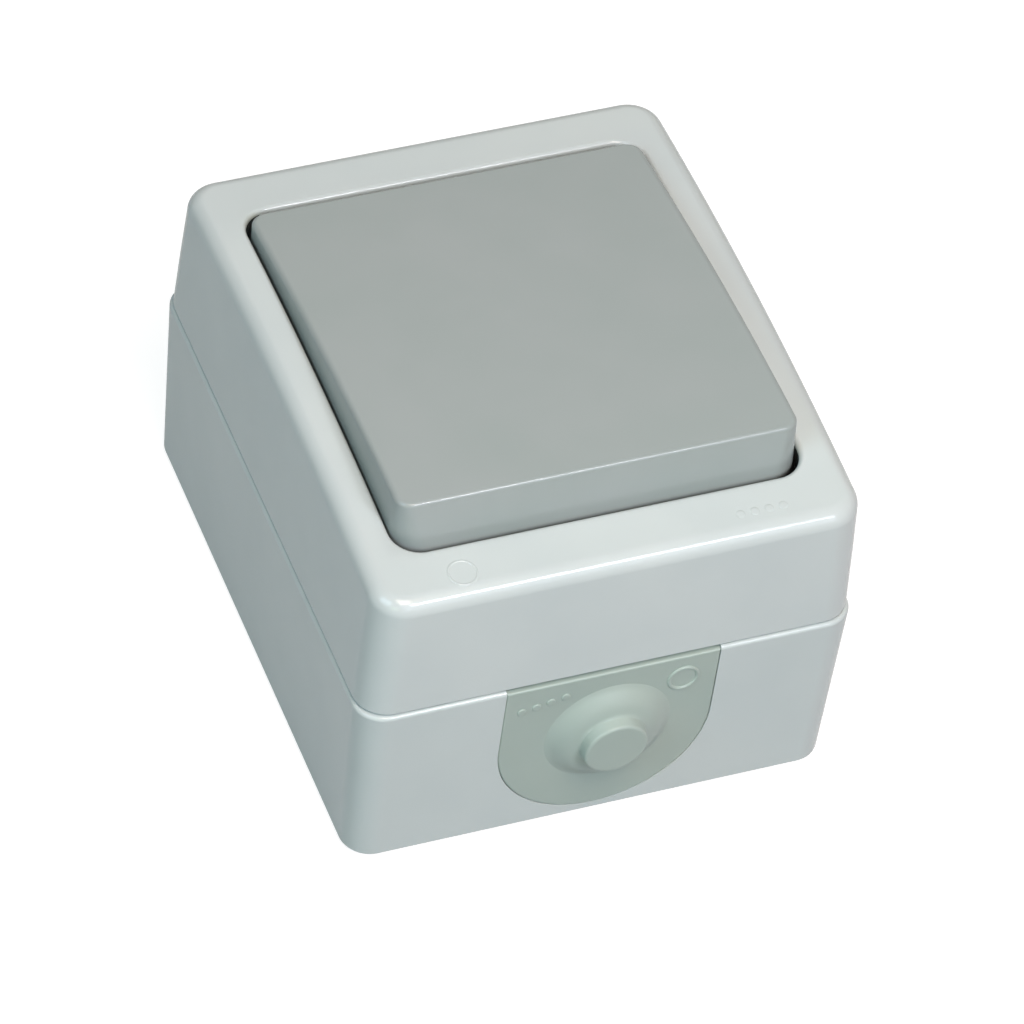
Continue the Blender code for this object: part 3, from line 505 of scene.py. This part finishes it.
posts = {
    "foot": [(0.0037, 0.001), (0.0037, 0.002), (0.0033, 0.0026)],
    "radius": 0.0032, "tipRadius": 0.003, "chamfer": 0.0002, "sides": 40,
    "bore": 0.0017, "boreDepth": 0.0086, "mouth": 0.0021, "mouthBelow": 0.0003, "mouthOver": 0.0004,
    "boreSides": 28,
    "sets": {
        "lugBosses": {"spots": [(-0.0215, 0), (0.0215, 0)], "top": 0.025807},
        "coverPosts": {"spots": coverScrews, "top": 0.034706},
    },
}
# Slots for the wall screws: half sizes and corner radius, then the heights of both ends
wallSlots = {
    "places": (-0.027, 0.027), "steps": 14,
    "cuts": [
        ((0.00545, 0.0034, 0.00339), (0.001, 0.0035), "UNION"),
        ((0.00425, 0.0022, 0.00219), (-0.001, 0.0045), "DIFFERENCE"),
    ],
}
entryHeight = 0.0153     # axis of the cable entries over the back
entryShift = 0.0003
entryLean = atan2(box["draftY"], box["rim"])
entryPlace = Matrix.Translation((entryShift, box["draftY"] - box["halfY"], 0))
entries = {"bottom": entryPlace @ Matrix.Rotation(pi / 2 + entryLean, 4, "X")}
entries["top"] = Matrix.Rotation(pi, 4, "Z") @ entries["bottom"]


def boxRing(inset, height, radiusInset=None):
    # A ring of the box's wall, drafted towards the back
    share = 1 - height / box["rim"]
    corner = box["rimRadius"] + (box["backRadius"] - box["rimRadius"]) * share
    halfX = box["halfX"] - box["draftX"] * share - inset
    halfY = box["halfY"] - box["draftY"] * share - inset
    radius = corner - (inset if radiusInset is None else radiusInset)
    return (halfX, halfY, radius, height, box["steps"], 0, None)


def makeBox():
    rings = [boxRing(inset, drop) for inset, drop in reversed(quarterRound(box["backEdge"], 4))]
    for inset, drop in quarterRound(box["rimEdge"], 5):
        rings.append(boxRing(inset, box["rim"] - drop))
    inner = box["rimRadius"] - box["innerRadius"]
    wall, floor = box["wall"], box["floor"]
    rimChamfer, floorChamfer = box["rimChamfer"], box["floorChamfer"]
    rings += [
        boxRing(wall - rimChamfer, box["rim"] - sliver, inner - rimChamfer),
        boxRing(wall, box["rim"] - rimChamfer, inner),
        boxRing(wall, floor + floorChamfer, inner),
        boxRing(wall + floorChamfer, floor, inner + floorChamfer),
    ]
    piece = stackRings("wallBox", rings, roundedRing)

    over = box["rim"] + box["entryOver"]
    for side in ("bottom", "top"):
        for name, (radius, depths) in box["entryCuts"].items():
            rings = [(radius, entryHeight, over, depth, box["entrySteps"]) for depth in depths]
            cutter = stackRings(name, rings, archRing)
            setPlace(cutter, entries[side])
            combine(piece, cutter, "DIFFERENCE")

    for postSet in posts["sets"].values():
        top = postSet["top"]
        outside = posts["foot"] + [(posts["radius"], top - posts["chamfer"]), (posts["tipRadius"], top)]
        inside = [
            (posts["bore"], top - posts["boreDepth"]),
            (posts["bore"], top - posts["mouthBelow"]),
            (posts["mouth"], top + posts["mouthOver"]),
        ]
        for spot in postSet["spots"]:
            post = turnedPiece("post", outside, posts["sides"])
            setPlace(post, Matrix.Translation((*spot, 0)))
            combine(piece, post, "UNION")
            drillHoles(piece, [spot], inside, posts["boreSides"])

    for y in wallSlots["places"]:
        for size, heights, operation in wallSlots["cuts"]:
            rings = [(*size, height, wallSlots["steps"], 0, None) for height in heights]
            other = stackRings("slot", rings, roundedRing)
            setPlace(other, Matrix.Translation((0, y, 0)))
            combine(piece, other, operation)

    # Shallow panel and ejector marks on the back, as the mould leaves them
    panel = [(*box["panel"], height, box["panelSteps"], 0, None) for height in box["panelHeights"]]
    combine(piece, stackRings("panel", panel, roundedRing), "DIFFERENCE")
    marks = [(x, y) for x in box["ejectorX"] for y in box["ejectorY"]]
    drillHoles(piece, marks, box["ejector"], 32)
    # the box takes the darker copy of the body plastic, a painted shade
    finishPiece(piece, paintedShadeBoxPlastic, "housing", ["base_box"])


makeBox()


cover = {
    "foot": 0.027, "face": 0.04596, "crown": 0.00196,
    "inset": 0.00028, "draftX": 0.0006, "draftY": 0.00033,
    "footRadius": 0.0043, "faceRadius": 0.0045, "edge": 0.0022, "edgeSteps": 14, "footEdge": 0.00015,
    "apertureX": 0.02692, "apertureY": 0.0301, "apertureRadius": 0.0038, "apertureEdge": 0.0007,
    "apertureDepth": 0.002, "borderRings": 3,
    "wall": 0.002, "wellWall": 0.0016, "wellFloor": 0.037006, "wellUnder": 0.035006,
    "wellRound": [(-0.0006, 0), (-0.0002, 0.0002), (0, 0.0006)],
    "steps": 12, "cuts": 23,
}
# Underside: a groove for the gasket, a tongue that drops inside the box, and reliefs in the tongue
# where the grommets stand
tongue = {
    "grooveX": 0.0011, "grooveRadius": 0.004, "grooveDepth": 0.0013,    # insets are from the box's side
    "x": 0.0027, "radius": 0.0025, "drop": 0.0018, "chamfer": 0.0002, "flat": 0.0008, "thick": 0.001,
    "rootLow": 0.0018, "rootHigh": 0.0028,
    "relief": {"x": 0.0147, "outer": 0.0362, "inner": 0.03395, "low": 0.0242},
}
# Holes in the well's floor, cut between two heights
wellHoles = {
    "turret": (0.0146, 0.007675, 0.0015), "turretSteps": 8,
    "screw": 0.0017, "heights": (0.034, 0.038),
}
# Painted shadow on the well's side walls: how much of the corners it takes, and how far under the face it
# ends
paintedShadowSpan = {"cornerShare": 0.7, "under": 0.001, "margin": 0.0001}
coverMarks = {
    "y": -0.0345, "dotsX": (0.0162, 0.0181, 0.0200, 0.0219), "ringX": -0.0202,
    "dot": [(0.0006, -0.0003), (0.0006, 0.00002), (0.0005, 0.00006), (0.0003, 0.00007)],
    "ringMajor": 0.0018, "ringMinor": 0.00024, "ringSunk": -0.00017,
}


def crownRise(y):
    # Height of the crowned face over its ends
    return cover["crown"] * (1 - (y / box["halfY"]) ** 2)


def coverRing(inset, share, radius, height, rise=None):
    # A ring of the outer wall, with its share of the draft
    halfX = box["halfX"] - cover["inset"] - cover["draftX"] * share - inset
    halfY = box["halfY"] - cover["inset"] - cover["draftY"] * share - inset
    return (halfX, halfY, radius, height, cover["steps"], cover["cuts"], rise)


def apertureRing(outset, height, rise=None):
    # A ring of the well that the rocker sits in
    halfX, halfY = cover["apertureX"] + outset, cover["apertureY"] + outset
    return (halfX, halfY, cover["apertureRadius"] + outset, height, cover["steps"], cover["cuts"], rise)


def rimRing(inset, radius, height):
    # A ring of the underside, which follows the box and not the cover's draft
    return (box["halfX"] - inset, box["halfY"] - inset, radius, height, cover["steps"], cover["cuts"], None)


def blendRings(first, second, count):
    # Rings spaced evenly between two others
    rings = []
    for step in range(1, count + 1):
        share = step / (count + 1)
        mixed = [a + (b - a) * share for a, b in zip(first[:4], second[:4])]
        rings.append((*mixed, *first[4:]))
    return rings


def makeCover():
    face, edge, foot = cover["face"], cover["edge"], cover["foot"]
    rings = [apertureRing(outset, cover["wellFloor"] + rise) for outset, rise in cover["wellRound"]]
    rings.append(apertureRing(0, face - cover["apertureDepth"], crownRise))
    for inset, drop in quarterRound(cover["apertureEdge"], 6):
        rings.append(apertureRing(inset, face - drop, crownRise))
    outer = []
    for inset, drop in reversed(quarterRound(edge, cover["edgeSteps"])):
        outer.append(coverRing(inset, 1, cover["faceRadius"] - inset, face - drop, crownRise))
    rings += blendRings(rings[-1], outer[0], cover["borderRings"])
    rings += outer
    rings.append(coverRing(0, 0.5, (cover["faceRadius"] + cover["footRadius"]) / 2, (face + foot) / 2))
    for inset, drop in quarterRound(cover["footEdge"], 3):
        rings.append(coverRing(inset, 0, cover["footRadius"] - inset, foot + drop))
    grooveTop, tongueFoot = foot + tongue["grooveDepth"], foot - tongue["drop"]
    x, radius, chamfer = tongue["x"], tongue["radius"], tongue["chamfer"]
    flat, thick = tongue["flat"], tongue["thick"]
    wall = cover["wall"]
    thin = face - wall
    rings += [
        rimRing(tongue["grooveX"], tongue["grooveRadius"], foot + sliver),
        rimRing(tongue["grooveX"], tongue["grooveRadius"], grooveTop),
        rimRing(x, radius, grooveTop + sliver),
        rimRing(x, radius, tongueFoot + chamfer),
        rimRing(x + chamfer, radius - chamfer, tongueFoot),
        rimRing(x + flat, radius - flat, tongueFoot + sliver),
        rimRing(x + thick, radius - thick, tongueFoot + chamfer),
        rimRing(x + thick, radius - thick, grooveTop + tongue["rootLow"]),
        coverRing(wall, 1, cover["faceRadius"] - wall, grooveTop + tongue["rootHigh"]),
        coverRing(wall, 1, cover["faceRadius"] - wall, thin, crownRise),
        apertureRing(cover["wellWall"], thin, crownRise),
        apertureRing(cover["wellWall"], cover["wellUnder"]),
    ]
    piece = stackRings("coverFrame", rings, roundedRing)

    heights = wellHoles["heights"]
    opening = [(*wellHoles["turret"], height, wellHoles["turretSteps"], 0, None) for height in heights]
    combine(piece, stackRings("turretOpening", opening, roundedRing), "DIFFERENCE")
    drillHoles(piece, coverScrews, [(wellHoles["screw"], height) for height in heights], 28)

    # A faint raised ring and a row of dots on the lower border, laid on its slope
    y = coverMarks["y"]
    slope = Matrix.Rotation(atan2(-2 * cover["crown"] * y, box["halfY"] ** 2), 4, "X")

    def markPlace(x, y):
        return Matrix.Translation((x, y, face + crownRise(y))) @ slope

    addDots(piece, [(x, y) for x in coverMarks["dotsX"]], coverMarks["dot"], markPlace)
    centre = (0, 0, coverMarks["ringSunk"])
    place = markPlace(coverMarks["ringX"], y)
    addRingMark(piece, coverMarks["ringMajor"], coverMarks["ringMinor"], centre, place)

    relief = tongue["relief"]
    for side in (-1, 1):
        near, far = sorted((side * relief["outer"], side * relief["inner"]))
        block = boxPiece("relief", (-relief["x"], near, relief["low"]), (relief["x"], far, foot))
        combine(piece, block, "DIFFERENCE")
    finishPiece(piece, bodyPlastic, "housing", ["cover_frame"])
    # painted shadow on the well's side walls beside the rocker
    paintWellShadow(piece)


def paintWellShadow(piece):
    # The lights alone leave this gap paler than in the photo, so its walls get a painted shadow
    piece.data.materials.append(paintedShadowPlastic)
    margin = paintedShadowSpan["margin"]
    beside = cover["apertureX"] - paintedShadowSpan["cornerShare"] * cover["apertureRadius"]
    for wallFace in piece.data.polygons:
        x, y, z = wallFace.center
        within = beside < abs(x) < cover["apertureX"] + margin and abs(y) < cover["apertureY"] + margin
        shadowTop = cover["face"] + crownRise(y) - paintedShadowSpan["under"]
        if within and cover["wellFloor"] - margin < z < shadowTop:
            wallFace.material_index = 1


makeCover()


rocker = {
    "axis": 0.045, "tilt": rockerTilt, "rise": 0.0052, "crown": 0.00112,
    "skirt": 0.005, "shoulder": 0.0014,
    "skirtX": 0.02668, "skirtY": 0.0292, "endTaper": 0.00115, "sideTaper": 0.0003,
    "radius": 0.0041, "faceRadius": 0.0021,
    "edgeX": 0.0008, "edgeY": 0.0005, "edge": 0.0006, "plate": 0.0018, "wall": 0.0018,
    "ceilingRadius": 0.0014, "ceilingEdge": 0.0004, "skirtEdge": 0.0002,
    "steps": 12, "cuts": 19,
}
# Snap hooks under the plate: each reaches from its root in the plate to its foot under the axis,
# where a lip is drawn on and bent
hooks = {
    "y": 0.013, "size": (0.008, 0.0014, 1),
    "root": 0.001, "foot": 0.0033, "lip": 0.0012, "bend": 0.0009,
}


def makeRocker():
    faceX, faceY = rocker["skirtX"] - rocker["sideTaper"], rocker["skirtY"] - rocker["endTaper"]
    skirtX, skirtY, skirt, shoulder = (rocker[part] for part in ("skirtX", "skirtY", "skirt", "shoulder"))
    radius, faceRadius, wall = rocker["radius"], rocker["faceRadius"], rocker["wall"]
    edge, ceilingEdge, ceilingRadius = rocker["skirtEdge"], rocker["ceilingEdge"], rocker["ceilingRadius"]
    ceiling = rocker["rise"] - rocker["plate"]
    steps, cuts = rocker["steps"], rocker["cuts"]

    def topRise(y):
        return rocker["crown"] * (1 - (y / faceY) ** 2)

    def ring(halfX, halfY, corner, height, rise=None):
        return (halfX, halfY, corner, height, steps, cuts, rise)

    rings = []
    for inset, drop in reversed(quarterRound(1, 8)):
        halfX, halfY = faceX - inset * rocker["edgeX"], faceY - inset * rocker["edgeY"]
        corner = faceRadius - inset * rocker["edge"]
        rings.append(ring(halfX, halfY, corner, rocker["rise"] - drop * rocker["edge"], topRise))
    rings += [
        ring(skirtX, skirtY, radius, -shoulder),
        ring(skirtX, skirtY, radius, edge - skirt),
        ring(skirtX - edge, skirtY - edge, radius - edge, -skirt),
        ring(skirtX - wall, skirtY - wall, radius - wall, sliver - skirt),
        ring(skirtX - wall, skirtY - wall, radius - wall, -shoulder),
        ring(faceX - wall, faceY - wall, ceilingRadius, ceiling - ceilingEdge),
        ring(faceX - wall - ceilingEdge, faceY - wall - ceilingEdge, ceilingRadius - ceilingEdge, ceiling),
    ]
    piece = stackRings("rockerCap", rings, roundedRing)
    joinAcross(piece)

    # Snap hooks under the plate, each a post with a lip bent towards the middle
    for side in (-1, 1):
        hook = startPiece("hook")
        centre = (0, side * hooks["y"], ceiling + hooks["root"])
        bpy.ops.mesh.primitive_plane_add(size=1, location=centre)
        bpy.ops.transform.resize(value=hooks["size"], center_override=centre)
        for drop in (ceiling + hooks["root"] + hooks["foot"], hooks["lip"]):
            bpy.ops.mesh.extrude_region_move(TRANSFORM_OT_translate={"value": (0, 0, -drop)})
        pick(lambda spot, ring: abs(spot.z + hooks["foot"]) < mergeDistance and abs(spot.y) < hooks["y"])
        bpy.ops.transform.translate(value=(0, -side * hooks["bend"], 0))
        bpy.ops.mesh.select_all(action="SELECT")
        bpy.ops.mesh.normals_make_consistent(inside=False)
        rest()
        combine(piece, hook, "UNION")
    axis = Matrix.Translation((0, 0, rocker["axis"]))
    setPlace(piece, axis @ Matrix.Rotation(-rocker["tilt"], 4, "X"))
    finishPiece(piece, rockerPlastic, "rocker", ["rocker"])


makeRocker()


grommet = {
    "radius": 0.0142, "top": 0.0264, "flange": 0.0012, "edge": 0.0003,
    "neckRadius": 0.0119, "neckTop": 0.0259, "neckDepth": 0.0027,
    "innerRadius": 0.0130, "back": 0.0039,
    "steps": 28, "domeRoot": (0.0086, -0.0012), "domeSides": 88, "hollowSides": 64,
    "dome": [
        (0.0086, -0.0001), (0.0084, 0.00001), (0.0082, 0.00008), (0.0079, 0.00022), (0.0075, 0.00048),
        (0.0070, 0.00086), (0.0064, 0.00128), (0.0058, 0.00156), (0.0053, 0.00171), (0.0049, 0.00179),
        (0.0046, 0.00188), (0.00443, 0.00204), (0.00434, 0.0024), (0.00428, 0.0027), (0.00422, 0.0031),
        (0.00416, 0.00329), (0.00404, 0.00341), (0.00386, 0.00347), (0.0036, 0.00348),
    ],
    "hollow": [
        (0.0076, -0.0042), (0.0074, -0.0008), (0.0066, -0.0001), (0.0056, 0.0004), (0.0044, 0.0007),
        (0.0034, 0.0010), (0.0032, 0.0024),
    ],
    "shift": 0.0003,
    "dot": [(0.0006, -0.0003), (0.0006, 0.00008), (0.0005, 0.00017), (0.0003, 0.0002)],
    "dots": [(-0.0119, 0.0224), (-0.0100, 0.0228), (-0.0081, 0.0232), (-0.0062, 0.0236)],
    "ringSpot": (0.0096, 0.0224, -0.00004), "ringMajor": 0.0019, "ringMinor": 0.00028,
}


def makeGrommet():
    radius, high, edge = grommet["radius"], grommet["top"], grommet["edge"]
    inner, neck, neckTop = grommet["innerRadius"], grommet["neckRadius"], grommet["neckTop"]
    neckDepth, flange = grommet["neckDepth"], grommet["flange"]
    steps = grommet["steps"]
    rings = [
        (inner, entryHeight, high, -grommet["back"], steps),
        (inner, entryHeight, high, -neckDepth, steps),
        (neck, entryHeight, neckTop, sliver - neckDepth, steps),
        (neck, entryHeight, neckTop, -flange, steps),
        (radius, entryHeight, high, sliver - flange, steps),
    ]
    for inset, drop in quarterRound(edge, 5):
        rings.append((radius - inset, entryHeight, high - inset, -drop, steps))
    piece = stackRings("bottomGrommet", rings, archRing)

    middle = Matrix.Translation((grommet["shift"], entryHeight, 0))
    dome = turnedPiece("dome", [grommet["domeRoot"]] + grommet["dome"], grommet["domeSides"])
    setPlace(dome, middle)
    combine(piece, dome, "UNION")
    hollow = turnedPiece("hollow", grommet["hollow"], grommet["hollowSides"])
    setPlace(hollow, middle)
    combine(piece, hollow, "DIFFERENCE")

    # Raised dots and a ring near the upper corners
    addDots(piece, grommet["dots"], grommet["dot"], lambda x, y: Matrix.Translation((x, y, 0)))
    addRingMark(piece, grommet["ringMajor"], grommet["ringMinor"], grommet["ringSpot"])
    return piece


# Both ends have the same insert: the top one is a copy with its own mesh
bottomGrommet = makeGrommet()
rest()
topGrommet = bottomGrommet.copy()
topGrommet.data = bottomGrommet.data.copy()
topGrommet.name = "topGrommet"
bpy.context.scene.collection.objects.link(topGrommet)
setPlace(bottomGrommet, entries["bottom"])
setPlace(topGrommet, entries["top"])
finishPiece(bottomGrommet, softElastomer, "housing", ["bottom_cable_grommet"], 28)
finishPiece(topGrommet, softElastomer, "housing", ["top_cable_grommet"], 28)


stage = {
    "floorSize": 4, "floorHeight": -0.0004,
    "floorColour": (0.80, 0.80, 0.80),
    "bounceColour": (0.22, 0.225, 0.23),    # what the floor gives back to the object
    "floorGlow": 1.4, "glowSeen": 0.63, "glowMirrored": 0.25,
    "aim": (0, 0, 0.03), "distance": 0.9,
    "ambient": (0.01, 0.01, 0.01),
}
# Where each softbox stands (degrees round to the right, degrees up), its size,
# and its power in red, green and blue, solved from the photo's colours and then adjusted
softboxes = {
    "keyBox": {"turn": 20, "height": 40, "size": 0.11, "power": (1.5, 1.5, 1.6)},
    "frontBox": {"turn": 10, "height": 31, "size": 0.55, "power": (1.6, 1.8, 2.2)},
    "highBox": {"turn": 0, "height": 62, "size": 0.40, "power": (4.6, 3.85, 3.3)},
    "fillBox": {"turn": -65, "height": 38, "size": 0.45, "power": (1.7, 2.3, 2.7)},
    "lowBox": {"turn": -36, "height": 20, "size": 0.35, "power": (0.38, 0.58, 0.28)},
    "backBox": {"turn": 170, "height": 40, "size": 0.60, "power": (0.7, 0.72, 0.69)},
    "sideBox": {"turn": 118, "height": 48, "size": 0.60, "power": (0.31, 0.5, 0.45)},
}


def rayShare(tree, direct, mirrored):
    # direct for what the camera sees, mirrored for what a reflection shows, 0 for the light on the object
    path = tree.nodes.new("ShaderNodeLightPath")
    shares = []
    for ray, share in (("Camera", direct), ("Glossy", mirrored), ("Transmission", mirrored)):
        scaled = tree.nodes.new("ShaderNodeMath")
        scaled.operation = "MULTIPLY"
        scaled.inputs[1].default_value = share
        tree.links.new(path.outputs[f"Is {ray} Ray"], scaled.inputs[0])
        shares.append(scaled.outputs["Value"])
    largest = shares[0]
    for share in shares[1:]:
        pair = tree.nodes.new("ShaderNodeMath")
        pair.operation = "MAXIMUM"
        tree.links.new(largest, pair.inputs[0])
        tree.links.new(share, pair.inputs[1])
        largest = pair.outputs["Value"]
    return largest


def makeFloor():
    # Pale paper, white to the camera and in reflections, which gives back less light to the object
    rest()
    bpy.ops.mesh.primitive_plane_add(size=stage["floorSize"], location=(0, 0, stage["floorHeight"]))
    floor = bpy.context.object
    floor.name = "floor"
    paper = bpy.data.materials.new("floorPaper")
    paper.use_nodes = True
    tree = paper.node_tree
    tree.nodes.clear()
    shade = tree.nodes.new("ShaderNodeMix")
    shade.data_type = "RGBA"
    shade.inputs["A"].default_value = (*stage["bounceColour"], 1)
    shade.inputs["B"].default_value = (*stage["floorColour"], 1)
    tree.links.new(rayShare(tree, 1, 1), shade.inputs["Factor"])
    matt = tree.nodes.new("ShaderNodeBsdfDiffuse")
    tree.links.new(shade.outputs["Result"], matt.inputs["Color"])
    glow = tree.nodes.new("ShaderNodeEmission")
    glow.inputs["Strength"].default_value = stage["floorGlow"]
    mix = tree.nodes.new("ShaderNodeMixShader")
    tree.links.new(rayShare(tree, stage["glowSeen"], stage["glowMirrored"]), mix.inputs["Fac"])
    tree.links.new(matt.outputs["BSDF"], mix.inputs[1])
    tree.links.new(glow.outputs["Emission"], mix.inputs[2])
    output = tree.nodes.new("ShaderNodeOutputMaterial")
    tree.links.new(mix.outputs["Shader"], output.inputs["Surface"])
    floor.data.materials.append(paper)


def makeSky():
    # White where it is seen or mirrored, and almost no light of its own
    world = bpy.data.worlds.new("softSky")
    bpy.context.scene.world = world
    world.use_nodes = True
    tree = world.node_tree
    tree.nodes.clear()
    light = tree.nodes.new("ShaderNodeBackground")
    light.inputs["Color"].default_value = (*stage["ambient"], 1)
    seen = tree.nodes.new("ShaderNodeBackground")
    seen.inputs["Color"].default_value = (1, 1, 1, 1)
    mix = tree.nodes.new("ShaderNodeMixShader")
    tree.links.new(rayShare(tree, 1, 1), mix.inputs["Fac"])
    tree.links.new(light.outputs["Background"], mix.inputs[1])
    tree.links.new(seen.outputs["Background"], mix.inputs[2])
    output = tree.nodes.new("ShaderNodeOutputWorld")
    tree.links.new(mix.outputs["Shader"], output.inputs["Surface"])


def addSoftbox(name, softbox):
    # An area light that faces the object, with its colour and energy taken from its power
    turn, height = radians(softbox["turn"]), radians(softbox["height"])
    direction = Vector((sin(turn) * cos(height), -cos(turn) * cos(height), sin(height)))
    lamp = bpy.data.lights.new(name, "AREA")
    lamp.shape = "SQUARE"
    lamp.size = softbox["size"]
    lamp.energy = max(softbox["power"])
    lamp.color = [part / lamp.energy for part in softbox["power"]]
    holder = bpy.data.objects.new(name, lamp)
    bpy.context.scene.collection.objects.link(holder)
    holder.location = Vector(stage["aim"]) + direction * stage["distance"]
    holder.rotation_euler = direction.to_track_quat("Z", "Y").to_euler()


makeFloor()
makeSky()
for name, softbox in softboxes.items():
    addSoftbox(name, softbox)

# The photo's camera, fitted to the outline and the edges that it shows
view = {
    "location": (-0.286082, -0.58797, 0.715282),
    "turn": (radians(42.783), radians(-5.4148), radians(-20.2945)),
    "lens": 263.671875, "sensor": 36, "clipStart": 0.01,
}
lens = bpy.data.cameras.new("camera")
lens.lens = view["lens"]
lens.sensor_width = view["sensor"]
lens.clip_start = view["clipStart"]
camera = bpy.data.objects.new("camera", lens)
bpy.context.scene.collection.objects.link(camera)
camera.location = view["location"]
camera.rotation_euler = view["turn"]
bpy.context.scene.camera = camera
bpy.context.scene.view_settings.view_transform = "Standard"
print("stage set")
